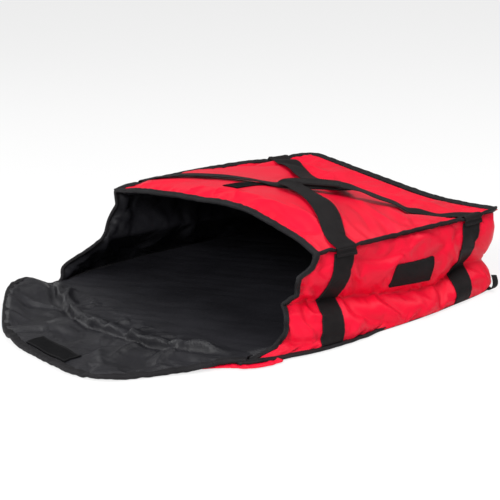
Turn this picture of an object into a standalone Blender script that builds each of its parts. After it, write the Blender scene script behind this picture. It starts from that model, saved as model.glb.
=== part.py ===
"""Insulated food bag with a bottom-hinged mouth flap, lying open on its bottom panel.

Metres, +Z up. The origin is the middle of the bottom panel's underside, +Y runs from the mouth
to the back, and +X is the side that carries the label.
"""

import math

import bmesh
import bpy
from mathutils import Vector

# Bag body
BOTTOM_WIDTH = 0.502
BOTTOM_DEPTH = 0.508
TOP_FRONT_WIDTH = 0.514
TOP_REAR_WIDTH = 0.482
MOUTH_SETBACK = 0.125
REAR_LEAN = 0.018
LEFT_HEIGHT = 0.147
RIGHT_HEIGHT = 0.135
CROWN_HEIGHT = 0.040
CORNER_RADIUS = 0.024
BOTTOM_BOW = 0.022
TOP_BOW = 0.006
REAR_BOW = 0.006
GUSSET_BULGE = 0.010
CREASE_DEPTH = 0.021

# Layers, from the outside in
SHELL_THICKNESS = 0.0008
BATTING_THICKNESS = 0.009
LINING_THICKNESS = 0.0008
GAP = 0.0004

# Edge binding, a tape folded over the edge
TAPE_THICKNESS = 0.0014
TAPE_FOLD = 0.008
MOUTH_EDGE_GAP = 0.0010
SEAM_LAP = 0.006
TAIL_WIDTH = 0.009
TAIL_RUN = 0.022
TAIL_RISE = 0.028
TAIL_CURL = 0.005

# Webbing
WEBBING_WIDTH = 0.038
WEBBING_THICKNESS = 0.0014
FRONT_STRAP_BEHIND_MOUTH = 0.069
FRONT_STRAP_BEHIND_LIP = 0.144
REAR_STRAP_BEFORE_TOP = 0.062
REAR_STRAP_BEFORE_BOTTOM = 0.086
TAB_LAP = 0.010
TAB_DROP = 0.016
HANDLE_RISE = 0.014
HANDLE_RISE_RADIUS = 0.150
HANDLE_RISE_AT = (0.036, 0.030)
HANDLE_STACK = 0.0050

# Flap
FLAP_REACH = 0.198
FLAP_ROOT_WIDTH = 0.494
FLAP_FOLD_WIDTH = 0.444
FLAP_TAPER_WIDTH = 0.384
FLAP_END_WIDTH = 0.240
FLAP_FOLD_AT = 0.081
FLAP_TAPER_AT = 0.150
FLAP_BATTING = 0.006

# Fasteners and label
LOOP_WIDTH = 0.040
LOOP_LENGTH = 0.170
LOOP_SETBACK = 0.060
HOOK_WIDTH = 0.112
HOOK_LENGTH = 0.030
HOOK_EDGE = 0.0105
HOOK_OFFSET = 0.034
FASTENER_THICKNESS = 0.0014
LABEL_LENGTH = 0.092
LABEL_HEIGHT = 0.040
LABEL_THICKNESS = 0.0010
LABEL_SLANT = 0.012
LABEL_BEFORE_REAR = 0.214

# Where the side crease and the rows of the walls lie, as shares of the height
CREASE_SHARE = 0.42
ROW_SHARES = (0.0, 0.14, 0.28, CREASE_SHARE, 0.55, 0.70, 0.84, 1.0)
LABEL_LOW_SHARE = 0.35
# How the crown rises and falls from the mouth to the back: share of the depth, share of the crown
CROWN_SHARES = ((0.0, 0.85), (0.15, 1.0), (0.37, 0.70), (0.66, 0.10), (1.0, -0.30))
CROWN_POWER = 2.2
# A handle's way over the panel: share of the way in from its tabs to the middle, and share of the
# way from its front tab to its rear one
RIGHT_HANDLE_SHARES = (
    (0.0, 0.0), (0.24, 0.09), (0.47, 0.17), (0.65, 0.22), (0.76, 0.29), (0.78, 0.40),
    (0.74, 0.50), (0.66, 0.58), (0.51, 0.66), (0.32, 0.77), (0.14, 0.91), (0.0, 1.0),
)
LEFT_HANDLE_SHARES = (
    (0.0, 0.0), (0.28, 0.10), (0.60, 0.18), (0.90, 0.22), (1.12, 0.26), (1.22, 0.35),
    (1.26, 0.46), (1.24, 0.55), (1.12, 0.62), (0.90, 0.69), (0.60, 0.78), (0.28, 0.89), (0.0, 1.0),
)
# The grip's wrap, as a share of its handle's length on either side of the middle
GRIP_SHARE = 0.10
STACK_SHARE = 0.14

SIDE_STEPS = 9
ARC_STEPS = 4
ACROSS_SHARES = (-1.0, -0.93, -0.8, -0.6, -0.4, -0.2, 0.0, 0.2, 0.4, 0.6, 0.8, 0.93, 1.0)
HANDLE_STEPS = 30

RED = (0.80, 0.012, 0.045)
BLACK = (0.012, 0.011, 0.012)
CHARCOAL = (0.030, 0.031, 0.036)
WHITE = (0.75, 0.74, 0.72)

WALL_THICKNESS = SHELL_THICKNESS + BATTING_THICKNESS + LINING_THICKNESS + 2 * GAP
LAYERS = (
    ("shell", 0.0, SHELL_THICKNESS, RED, 0.42),
    ("batting", SHELL_THICKNESS + GAP, BATTING_THICKNESS, WHITE, 0.95),
    ("lining", SHELL_THICKNESS + BATTING_THICKNESS + 2 * GAP, LINING_THICKNESS, CHARCOAL, 0.48),
)
TOP_DEPTH = BOTTOM_DEPTH + REAR_LEAN - MOUTH_SETBACK
LIP_Y = -BOTTOM_DEPTH / 2
OUTER_LEVEL = GAP + WEBBING_THICKNESS


# Helpers for meshes


def clear_scene():
    for item in list(bpy.data.objects):
        bpy.data.objects.remove(item, do_unlink=True)


def add_object(name, mesh, colour, roughness, pivot=None):
    """Puts a mesh made in world coordinates in the scene, under its pivot where it has one."""
    item = bpy.data.objects.new(name, mesh)
    bpy.context.scene.collection.objects.link(item)
    material = bpy.data.materials.new(name)
    material.use_nodes = True
    shader = material.node_tree.nodes["Principled BSDF"]
    shader.inputs["Base Color"].default_value = (*colour, 1.0)
    shader.inputs["Roughness"].default_value = roughness
    shader.inputs["Metallic"].default_value = 0.0
    mesh.materials.append(material)
    if pivot is not None:
        item.parent = pivot
        item.location = -pivot.location
    return item


def add_pivot(name, location):
    pivot = bpy.data.objects.new(name, None)
    pivot.location = location
    bpy.context.scene.collection.objects.link(pivot)
    return pivot


def finish_mesh(name, body):
    bmesh.ops.recalc_face_normals(body, faces=body.faces)
    if body.calc_volume(signed=True) < 0:
        bmesh.ops.reverse_faces(body, faces=body.faces)
    mesh = bpy.data.meshes.new(name)
    body.to_mesh(mesh)
    body.free()
    mesh.shade_smooth()
    mesh.set_sharp_from_angle(angle=math.radians(35))
    return mesh


def sheet_mesh(name, outer, inner):
    """A closed sheet between two grids of points with the same rows and columns."""
    body = bmesh.new()
    faces = [[[body.verts.new(point) for point in row] for row in grid] for grid in (outer, inner)]
    rows, columns = len(outer), len(outer[0])
    for grid in faces:
        for i in range(rows - 1):
            for j in range(columns - 1):
                body.faces.new((grid[i][j], grid[i][j + 1], grid[i + 1][j + 1]))
                body.faces.new((grid[i][j], grid[i + 1][j + 1], grid[i + 1][j]))
    rim = [(0, j) for j in range(columns)]
    rim += [(i, columns - 1) for i in range(1, rows)]
    rim += [(rows - 1, j) for j in range(columns - 2, -1, -1)]
    rim += [(i, 0) for i in range(rows - 2, 0, -1)]
    for (i, j), (k, m) in zip(rim, rim[1:] + rim[:1]):
        body.faces.new((faces[0][i][j], faces[0][k][m], faces[1][k][m], faces[1][i][j]))
    return finish_mesh(name, body)


def loft_mesh(name, sections):
    """A closed tube through sections that all have the same number of points."""
    body = bmesh.new()
    loops = [[body.verts.new(point) for point in section] for section in sections]
    for first, second in zip(loops, loops[1:]):
        for a in range(len(first)):
            b = (a + 1) % len(first)
            body.faces.new((first[a], first[b], second[b], second[a]))
    body.faces.new(loops[0])
    body.faces.new(loops[-1])
    return finish_mesh(name, body)


def plate_mesh(name, outline, low, high):
    """A flat plate with the given outline in plan."""
    return loft_mesh(name, [[(x, y, z) for x, y in outline] for z in (low, high)])


def through(shares, t):
    """A smooth curve through the second values of the shares, read at t of the first."""
    last = len(shares) - 1
    slopes = []
    for i in range(last + 1):
        before, after = shares[max(i - 1, 0)], shares[min(i + 1, last)]
        slopes.append((after[1] - before[1]) / (after[0] - before[0]))
    i = max(k for k in range(last) if k == 0 or shares[k][0] <= t)
    (t0, p0), (t1, p1) = shares[i], shares[i + 1]
    width = t1 - t0
    w = (t - t0) / width
    return (
        p0 * (2 * w**3 - 3 * w**2 + 1)
        + p1 * (3 * w**2 - 2 * w**3)
        + slopes[i] * width * (w**3 - 2 * w**2 + w)
        + slopes[i + 1] * width * (w**3 - w**2)
    )


def mix(a, b, t):
    return a + (b - a) * t


# The form of the bag


def linear(knots, values, t):
    """Straight lines between the values, read at t of the knots and held beyond them."""
    if t <= knots[0]:
        return values[0]
    for i in range(len(knots) - 1):
        if t <= knots[i + 1]:
            return mix(values[i], values[i + 1], (t - knots[i]) / (knots[i + 1] - knots[i]))
    return values[-1]


def gusset_at(v):
    """How far the side wall stands out: two bulges with a crease between them."""
    if v <= CREASE_SHARE:
        t = v / CREASE_SHARE
    else:
        t = (1 - v) / (1 - CREASE_SHARE)
    return GUSSET_BULGE * math.sin(math.pi * t) - CREASE_DEPTH * t**3


def gusset(v):
    return linear(ROW_SHARES, [gusset_at(row) for row in ROW_SHARES], v)


def front_y(v):
    return LIP_Y + MOUTH_SETBACK * linear(ROW_SHARES, [1 - (1 - row) ** 2 for row in ROW_SHARES], v)


def rear_y(v):
    return BOTTOM_DEPTH / 2 + REAR_LEAN * v + gusset(v)


def side_y(u, v):
    return mix(front_y(v), rear_y(v) - CORNER_RADIUS, u)


def half_width(u, v):
    """Half the width at share u from the mouth to the rear corner and share v of the height."""
    ends = mix(BOTTOM_WIDTH / 2, mix(TOP_FRONT_WIDTH, TOP_REAR_WIDTH, u) / 2, v)
    return ends + 4 * u * (1 - u) * mix(BOTTOM_BOW, TOP_BOW, v)


def chord_width(u, v):
    """Half the width where the sides run straight between their columns of points."""
    place = min(max(u, 0.0), 1.0) * SIDE_STEPS
    i = min(int(place), SIDE_STEPS - 1)
    return mix(half_width(i / SIDE_STEPS, v), half_width((i + 1) / SIDE_STEPS, v), place - i)


def side_share(y, v):
    return (y - front_y(v)) / (rear_y(v) - CORNER_RADIUS - front_y(v))


def top_z(x, y):
    """Height of the top panel's outer face, straight between its rows and columns of points."""
    rows = [side_y(i / SIDE_STEPS, 1) for i in range(SIDE_STEPS + 1)] + [rear_y(1) + REAR_BOW]
    crowns = [through(CROWN_SHARES, (row - rows[0]) / (rows[-1] - rows[0])) for row in rows]
    domes = [1 - abs(share) ** CROWN_POWER for share in ACROSS_SHARES]
    dome = linear(ACROSS_SHARES, domes, x / chord_width(side_share(y, 1), 1))
    edge = mix(LEFT_HEIGHT, RIGHT_HEIGHT, 0.5 + x / TOP_FRONT_WIDTH)
    return edge + CROWN_HEIGHT * linear(rows, crowns, y) * dome


def rear_shares(v):
    """Where the back's points lie, as shares of the width there."""
    corner = 1 - (CORNER_RADIUS - gusset(v)) / half_width(1, v)
    near = mix(corner, ACROSS_SHARES[-3], 0.5)
    return [-corner, -near, *ACROSS_SHARES[2:-2], near, corner]


def plan(v, inset):
    """The walls' outline at share v of the height: left, back and right, from the mouth round."""
    width, back_y = half_width(1, v), rear_y(v)
    right = []
    for i in range(SIDE_STEPS + 1):
        u = i / SIDE_STEPS
        right.append((half_width(u, v) + gusset(v) - inset, side_y(u, v)))
    radius = CORNER_RADIUS - inset
    for i in range(1, ARC_STEPS):
        angle = math.pi / 2 * i / ARC_STEPS
        x = width + gusset(v) - CORNER_RADIUS + radius * math.cos(angle)
        right.append((x, back_y - CORNER_RADIUS + radius * math.sin(angle)))
    back = []
    for share in rear_shares(v):
        back.append((share * width, back_y - inset + REAR_BOW * (1 - share**2)))
    return [(-x, y) for x, y in right] + back + right[::-1]


def column_height(index):
    """Height of the top panel over one column of the walls."""
    return top_z(*plan(1, 0)[index])


def wall_outline(z, inset):
    """The walls' outline at one height."""
    heights = [column_height(i) for i in range(len(plan(1, 0)))]
    return [plan(z / height, inset)[i] for i, height in enumerate(heights)]


def wall_grid(inset, low, below_top):
    """A wall's face at this inset, from height low to so far below the top panel's outer face."""
    columns = []
    for index in range(len(plan(1, 0))):
        height = column_height(index)
        high = 1 - below_top / height
        for _ in range(4):
            high = (top_z(*plan(high, inset)[index]) - below_top) / height
        rows = [low / height, *ROW_SHARES[1:-1], high]
        columns.append([(*plan(v, inset)[index], v * height) for v in rows])
    return [list(row) for row in zip(*columns)]


def side_height(sign, u):
    """Height of a side's top edge, straight between its columns of points."""
    place = min(max(u, 0.0), 1.0) * SIDE_STEPS
    i = min(int(place), SIDE_STEPS - 1)
    ends = [(sign * half_width(k / SIDE_STEPS, 1), side_y(k / SIDE_STEPS, 1)) for k in (i, i + 1)]
    return mix(top_z(*ends[0]), top_z(*ends[1]), place - i)


def side_point(sign, y, v, outset):
    """A point on the left or right wall, or so far outside it."""
    u = side_share(y, v)
    x = sign * (chord_width(u, v) + gusset(v) + outset)
    return Vector((x, y, v * side_height(sign, u)))


def top_grid(inset, depth):
    """The top panel's face at this depth under its outer face, cut back by the inset."""
    outline = plan(1, inset)
    side = SIDE_STEPS + ARC_STEPS
    rows = []
    for i in range(side):
        left, right = outline[i], outline[-1 - i]
        width = chord_width(side_share(left[1], 1), 1)
        row = [(share * width, left[1]) for share in ACROSS_SHARES[1:-1]]
        rows.append([left, *row, right])
    rows.append(outline[side : side + len(ACROSS_SHARES)])
    return [[(x, y, top_z(x, y) - depth) for x, y in row] for row in rows]


# The bag's layers


def make_layers():
    for layer, depth, thickness, colour, roughness in LAYERS:
        bottom = plate_mesh("bottom", plan(0, depth), depth, depth + thickness)
        add_object(f"bottom_{layer}", bottom, colour, roughness)
        top = sheet_mesh("top", top_grid(depth, depth), top_grid(depth, depth + thickness))
        add_object(f"top_{layer}", top, colour, roughness)
        low, below_top = depth + thickness + GAP, depth + thickness + 2 * GAP
        outer = wall_grid(depth, low, below_top)
        inner = wall_grid(depth + thickness, low, below_top)
        add_object(f"wall_{layer}", sheet_mesh("wall", outer, inner), colour, roughness)


# Edge bindings


def mouth_corners(front):
    """The folded tape's section on an edge of the mouth: y, and how far outside the outer face."""
    edge, leg = front - MOUTH_EDGE_GAP, front + TAPE_FOLD
    out, inside = GAP + TAPE_THICKNESS, -WALL_THICKNESS - 3 * GAP
    return (
        (leg, out),
        (edge - TAPE_THICKNESS, out),
        (edge - TAPE_THICKNESS, inside - TAPE_THICKNESS),
        (leg, inside - TAPE_THICKNESS),
        (leg, inside),
        (edge, inside),
        (edge, GAP),
        (leg, GAP),
    )


def mouth_section(sign, v):
    """The tape's section on a side edge of the mouth."""
    return [side_point(sign, y, v, outset) for y, outset in mouth_corners(front_y(v))]


def lip_section(share):
    """The tape's section on the top panel's edge at this share of its width."""
    half = TOP_FRONT_WIDTH / 2
    inner = half - WALL_THICKNESS - TAPE_THICKNESS - 4 * GAP
    section = []
    for y, outset in mouth_corners(front_y(1)):
        x = max(min(share * half, inner), -inner)
        section.append((x, y, top_z(x, max(y, front_y(1))) + outset))
    return section


def corner_section(sign):
    """The mitred section where the tape turns from the top edge to a side edge."""
    section = []
    for y, outset in mouth_corners(front_y(1)):
        x = sign * (chord_width(side_share(y, 1), 1) + outset)
        section.append((x, y, top_z(x, max(y, front_y(1))) + outset))
    return section


def make_mouth_binding():
    sides = {}
    for sign in (-1, 1):
        height = side_height(sign, 0)
        start = (WALL_THICKNESS + 2 * GAP) / height
        end = 1 - (WALL_THICKNESS + TAPE_THICKNESS + 5 * GAP) / height
        rows = [start, *(v for v in ROW_SHARES if start < v < end), end]
        sides[sign] = [mouth_section(sign, v) for v in rows] + [corner_section(sign)]
    sections = sides[-1] + [lip_section(share) for share in ACROSS_SHARES] + sides[1][::-1]
    add_object("mouth_binding", loft_mesh("mouth_binding", sections), BLACK, 0.7)


def seam_outline(outline, sign_points):
    """The outline without its two front points, begun just behind the mouth binding's legs."""
    return [sign_points[0], *outline[1:-1], sign_points[1]]


def seam_starts(v, inset):
    y = front_y(v) + TAPE_FOLD + GAP
    return [(sign * (chord_width(side_share(y, v), v) + gusset(v) - inset), y) for sign in (-1, 1)]


def make_top_binding():
    """An angle of tape round the top panel's left, rear and right edges."""
    drop = 1 - TAPE_FOLD / LEFT_HEIGHT
    out = -GAP - TAPE_THICKNESS
    corners = (
        (drop, -GAP, None),
        (drop, out, None),
        (1, out, GAP + TAPE_THICKNESS),
        (1, SEAM_LAP, GAP + TAPE_THICKNESS),
        (1, SEAM_LAP, GAP),
        (1, -GAP, GAP),
    )
    outlines = [(seam_outline(plan(v, inset), seam_starts(v, inset)), above)
                for v, inset, above in corners]
    edge = [top_z(x, y) for x, y in seam_outline(plan(1, 0), seam_starts(1, 0))]
    sections = []
    for i, height in enumerate(edge):
        section = []
        for outline, above in outlines:
            x, y = outline[i]
            z = drop * height if above is None else top_z(x, y) + above
            section.append((x, y, z))
        sections.append(section)
    add_object("top_seam_binding", loft_mesh("top_binding", sections), BLACK, 0.7)


def make_bottom_binding():
    """A band of tape round the foot of the walls."""
    corners = (
        (GAP, -GAP),
        (GAP, -GAP - TAPE_THICKNESS),
        (TAPE_FOLD, -GAP - TAPE_THICKNESS),
        (TAPE_FOLD, -GAP),
    )
    outlines = []
    for z, inset in corners:
        starts = [seam_starts(z / side_height(sign, 0), inset) for sign in (-1, 1)]
        points = seam_outline(wall_outline(z, inset), (starts[0][0], starts[1][1]))
        outlines.append([(x, y, z) for x, y in points])
    add_object("bottom_seam_binding", loft_mesh("binding", list(zip(*outlines))), BLACK, 0.7)


def make_binding_tail():
    """The bottom binding's loose end, which leaves the rear right corner and curls up."""
    start = Vector((BOTTOM_WIDTH / 2 - CORNER_RADIUS, 0, GAP + TAPE_THICKNESS / 2))
    bend = start + Vector((TAIL_RUN, 0, 0))
    tip = bend + Vector((TAIL_CURL, 0, TAIL_RISE))
    line = [start.lerp(bend, 0.5 * i) for i in range(2)]
    for i in range(7):
        t = i / 6
        line.append(bend.lerp(bend + Vector((2 * TAIL_CURL, 0, 0)), t).lerp(
            (bend + Vector((2 * TAIL_CURL, 0, 0))).lerp(tip, t), t))
    near = plan(0, 0)[SIDE_STEPS + ARC_STEPS][1] + 4 * GAP + TAPE_THICKNESS
    sections = []
    for i, point in enumerate(line):
        ahead = line[min(i + 1, len(line) - 1)] - line[max(i - 1, 0)]
        normal = Vector((-ahead.z, 0, ahead.x)).normalized() * (TAPE_THICKNESS / 2)
        pair = [point - normal, point + normal]
        section = [(pair[0].x, near, pair[0].z), (pair[0].x, near + TAIL_WIDTH, pair[0].z)]
        section += [(pair[1].x, near + TAIL_WIDTH, pair[1].z), (pair[1].x, near, pair[1].z)]
        sections.append(section)
    add_object("binding_tail", loft_mesh("binding_tail", sections), BLACK, 0.7)


# Webbing


def strap_y(name, v):
    ends = {
        "front": (LIP_Y + FRONT_STRAP_BEHIND_LIP, front_y(1) + FRONT_STRAP_BEHIND_MOUTH),
        "rear": (rear_y(0) - REAR_STRAP_BEFORE_BOTTOM, rear_y(1) - REAR_STRAP_BEFORE_TOP),
    }
    return mix(*ends[name], v)


def make_side_strap(name, side, sign):
    """A strap sewn up the side wall, from the bottom binding to the top one."""
    heights = [side_height(sign, i / SIDE_STEPS) for i in range(SIDE_STEPS + 1)]
    low = (TAPE_FOLD + GAP) / min(heights)
    high = 1 - (TAPE_FOLD + GAP) / min(heights)
    rows = [low, *(v for v in ROW_SHARES if low < v < high), high]
    grids = []
    for outset in (GAP, OUTER_LEVEL):
        grid = []
        for v in rows:
            y = strap_y(name, v)
            edges = [y + WEBBING_WIDTH * share / 2 for share in (-1.0, -0.5, 0.0, 0.5, 1.0)]
            grid.append([side_point(sign, edge, v, outset) for edge in edges])
        grids.append(grid)
    label = f"{name}_{side}_strap"
    add_object(label, sheet_mesh(label, *grids), BLACK, 0.75)


def tab_edges(name):
    middle = strap_y(name, 1)
    return middle - WEBBING_WIDTH / 2, middle + WEBBING_WIDTH / 2


def tab_inner(name):
    """How far from the middle a handle tab's inner end lies."""
    return min(chord_width(side_share(y, 1), 1) for y in tab_edges(name)) - TAB_LAP


def make_tab(name, side, sign):
    """A handle's sewn end: from the top panel over the edge binding and down on the strap."""
    sections = []
    for y in tab_edges(name):
        edge = side_point(sign, y, 1, 0)
        low = 1 - TAB_DROP / edge.z
        inner = sign * tab_inner(name)
        section = []
        for level in (OUTER_LEVEL + GAP, OUTER_LEVEL + GAP + WEBBING_THICKNESS):
            on_top = Vector((inner, y, top_z(inner, y) + level))
            corner = Vector((edge.x + sign * level, y, edge.z + level))
            down = side_point(sign, y, low, level)
            section.append([on_top, corner, down])
        sections.append(section[0] + section[1][::-1])
    label = f"{name}_{side}_handle_tab"
    add_object(label, loft_mesh(label, sections), BLACK, 0.75)


def handle_line(shares, sign):
    """The middle line of a handle in plan, from its front end to its rear end."""
    ends = [tab_inner(name) - GAP for name in ("front", "rear")]
    front, rear = strap_y("front", 1), strap_y("rear", 1)
    points = []
    for inward, along in shares:
        points.append((sign * mix(ends[0], ends[1], along) * (1 - inward), mix(front, rear, along)))
    reach = [0.0]
    for a, b in zip(points, points[1:]):
        reach.append(reach[-1] + math.dist(a, b))
    stations = [length / reach[-1] for length in reach]
    xs = list(zip(stations, [x for x, y in points]))
    ys = list(zip(stations, [y for x, y in points]))
    steps = [i / HANDLE_STEPS for i in range(HANDLE_STEPS + 1)]
    return [(through(xs, t), through(ys, t)) for t in steps]


def handle_lift(x, y):
    """How far the webbing stands off the panel near the grips."""
    away = math.dist((x, y), HANDLE_RISE_AT) / HANDLE_RISE_RADIUS
    return HANDLE_RISE * math.cos(math.pi / 2 * min(away, 1.0)) ** 2


def handle_grids(sign, shares, level, first, last):
    """Both faces of a handle's flat webbing, which lies over the crown of the top panel."""
    line = handle_line(shares, sign)
    low = []
    for i in range(first, last + 1):
        x, y = line[i]
        before, after = line[max(i - 1, 0)], line[min(i + 1, HANDLE_STEPS)]
        along = Vector((after[0] - before[0], after[1] - before[1])).normalized()
        if i in (0, HANDLE_STEPS):
            along = Vector((-sign if i == 0 else sign, 0))
        side = Vector((-along.y, along.x)) * (WEBBING_WIDTH / 2)
        way = min(i, HANDLE_STEPS - i) / HANDLE_STEPS / STACK_SHARE
        stack = HANDLE_STACK * min(way, 1.0) * (1 + sign) / 2
        row = []
        for share in (-1.0, 0.0, 1.0):
            edge = x + side.x * share, y + side.y * share
            lift = handle_lift(*edge) * min(way, 1.0) + stack + level
            row.append(Vector((*edge, top_z(*edge) + lift)))
        low.append(row)
    high = [[point + Vector((0, 0, WEBBING_THICKNESS)) for point in row] for row in low]
    return low, high


def make_handle(side, sign, shares):
    level = OUTER_LEVEL + GAP
    above = level + WEBBING_THICKNESS + GAP
    points = []
    for name in ("front", "rear"):
        x = sign * (tab_inner(name) - GAP / 2)
        points.append(Vector((x, strap_y(name, 1), top_z(x, strap_y(name, 1)) + above)))
    pivot = add_pivot(f"{side}_handle_hinge", (points[0] + points[1]) / 2)
    webbing = sheet_mesh("handle", *handle_grids(sign, shares, level, 0, HANDLE_STEPS))
    add_object(f"{side}_handle", webbing, BLACK, 0.75, pivot)
    first = round(HANDLE_STEPS * (0.5 - GRIP_SHARE))
    wrap = handle_grids(sign, shares, above, first, HANDLE_STEPS - first)
    add_object(f"{side}_grip_wrap", sheet_mesh("grip", *wrap), BLACK, 0.75, pivot)


# Flap


def flap_half_width(reach):
    """Half the flap's width so far in front of the lip."""
    stations = (
        (0.0, FLAP_ROOT_WIDTH / 2),
        (FLAP_FOLD_AT, FLAP_FOLD_WIDTH / 2),
        (FLAP_TAPER_AT, FLAP_TAPER_WIDTH / 2),
    )
    for (near, wide), (far, narrow) in zip(stations, stations[1:]):
        if reach <= far:
            return mix(wide, narrow, (reach - near) / (far - near))
    return FLAP_TAPER_WIDTH / 2


def flap_edge(tip, inset):
    """The right edge of one half of the flap in plan, from its rear corner to its front end."""
    if not tip:
        reaches = (GAP, FLAP_FOLD_AT - GAP / 2)
        return [(flap_half_width(reach) - inset, LIP_Y - reach) for reach in reaches]
    start = FLAP_FOLD_AT + GAP / 2
    edge = [(flap_half_width(start) - inset, LIP_Y - start)]
    arc = Vector((FLAP_END_WIDTH / 2, FLAP_TAPER_AT))
    wide = (FLAP_TAPER_WIDTH - FLAP_END_WIDTH) / 2 - inset
    corner = Vector((wide, FLAP_REACH - FLAP_TAPER_AT - inset))
    for i in range(7):
        angle = math.pi / 2 * i / 6
        x = arc.x + corner.x * math.cos(angle) ** 0.8
        edge.append((x, LIP_Y - arc.y - corner.y * max(math.sin(angle), 0) ** 0.9))
    return edge


def flap_outline(tip, inset):
    edge = flap_edge(tip, inset)
    return [(-x, y) for x, y in edge] + edge[::-1]


def flap_layers():
    """The flap's layers: name, underside, thickness, colour, roughness."""
    low = TAPE_THICKNESS + GAP
    shell = ("shell", low, SHELL_THICKNESS, RED, 0.42)
    batting_low = low + SHELL_THICKNESS + GAP
    batting = ("batting", batting_low, FLAP_BATTING, WHITE, 0.95)
    lining_low = batting_low + FLAP_BATTING + GAP
    lining = ("lining", lining_low, LINING_THICKNESS, CHARCOAL, 0.48)
    return shell, batting, lining


def flap_top():
    """Height of the lining's upper face on the flap."""
    name, low, thickness, colour, roughness = flap_layers()[-1]
    return low + thickness


def binding_corners():
    """The folded tape's section on the flap's edge: inset from the edge, and height."""
    upper = flap_top() + GAP
    return (
        (0.0, 0.0),
        (0.0, upper + TAPE_THICKNESS),
        (TAPE_FOLD, upper + TAPE_THICKNESS),
        (TAPE_FOLD, upper),
        (TAPE_THICKNESS, upper),
        (TAPE_THICKNESS, TAPE_THICKNESS),
        (TAPE_FOLD, TAPE_THICKNESS),
        (TAPE_FOLD, 0.0),
    )


def make_flap():
    top = flap_top() + TAPE_THICKNESS + 2 * GAP
    lip_pivot = add_pivot("flap_hinge", (0, LIP_Y - GAP / 2, top))
    fold_pivot = add_pivot("flap_fold", (0, LIP_Y - FLAP_FOLD_AT, top))
    for half, tip, pivot in (("flap_root", False, lip_pivot), ("flap_end", True, fold_pivot)):
        for layer, low, thickness, colour, roughness in flap_layers():
            outline = flap_outline(tip, TAPE_THICKNESS + GAP)
            mesh = plate_mesh("flap", outline, low, low + thickness)
            add_object(f"{half}_{layer}", mesh, colour, roughness, pivot)
        columns = [(flap_edge(tip, inset), z) for inset, z in binding_corners()]
        right = [[(*edge[i], z) for edge, z in columns] for i in range(len(columns[0][0]))]
        left = [[(-x, y, z) for x, y, z in section] for section in right]
        if tip:
            mesh = loft_mesh("binding", left + right[::-1])
            add_object("flap_end_binding", mesh, BLACK, 0.7, pivot)
        else:
            for side, sections in (("left", left), ("right", right)):
                mesh = loft_mesh("binding", sections)
                add_object(f"flap_{side}_binding", mesh, BLACK, 0.7, pivot)
    near = LIP_Y - FLAP_REACH + HOOK_EDGE
    outline = [(HOOK_OFFSET + sx * HOOK_WIDTH / 2, near + sy * HOOK_LENGTH)
               for sx, sy in ((-1, 0), (1, 0), (1, 1), (-1, 1))]
    low = flap_top() + GAP
    strip = plate_mesh("hook", outline, low, low + FASTENER_THICKNESS)
    add_object("hook_strip", strip, BLACK, 0.9, fold_pivot)


# Loop strip and label


def make_loop_strip():
    steps = 8
    grids = []
    for level in (GAP, GAP + FASTENER_THICKNESS):
        grid = []
        for i in range(steps + 1):
            y = front_y(1) + LOOP_SETBACK + LOOP_LENGTH * i / steps
            edges = [-LOOP_WIDTH / 2, 0, LOOP_WIDTH / 2]
            grid.append([(x, y, top_z(x, y) + level) for x in edges])
        grids.append(grid)
    add_object("loop_strip", sheet_mesh("loop_strip", *grids), BLACK, 0.9)


def make_label():
    """A bare patch on the right wall, just above the crease, with a slanted front edge."""
    start = BOTTOM_DEPTH / 2 - LABEL_BEFORE_REAR
    height = side_point(1, start, 1, 0).z
    low = LABEL_LOW_SHARE
    high = low + LABEL_HEIGHT / height
    rows = [low, *(v for v in ROW_SHARES if low < v < high), high]
    grids = []
    for outset in (GAP, GAP + LABEL_THICKNESS):
        grid = []
        for v in rows:
            slant = LABEL_SLANT * (v - low) / (high - low)
            ends = start + slant, start + LABEL_LENGTH
            grid.append([side_point(1, mix(*ends, t / 6), v, outset) for t in range(7)])
        grids.append(grid)
    add_object("label_patch", sheet_mesh("label_patch", *grids), BLACK, 0.5)


def main():
    clear_scene()
    make_layers()
    make_mouth_binding()
    make_top_binding()
    make_bottom_binding()
    make_binding_tail()
    for side, sign in (("left", -1), ("right", 1)):
        for name in ("front", "rear"):
            make_side_strap(name, side, sign)
            make_tab(name, side, sign)
    make_handle("left", -1, LEFT_HANDLE_SHARES)
    make_handle("right", 1, RIGHT_HANDLE_SHARES)
    make_flap()
    make_loop_strip()
    make_label()


main()
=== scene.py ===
"""Looks of the insulated food bag: sewn nylon skin, lining, bindings and webbing over the CAD frame.

Metres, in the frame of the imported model: the origin is under the middle of the bottom panel, +Y runs
from the mouth to the back, and +X is the side that carries the label.
"""

import bisect
import math
from itertools import accumulate

import bmesh
import bpy
from mathutils import Matrix, Vector, noise
from mathutils.bvhtree import BVHTree


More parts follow.
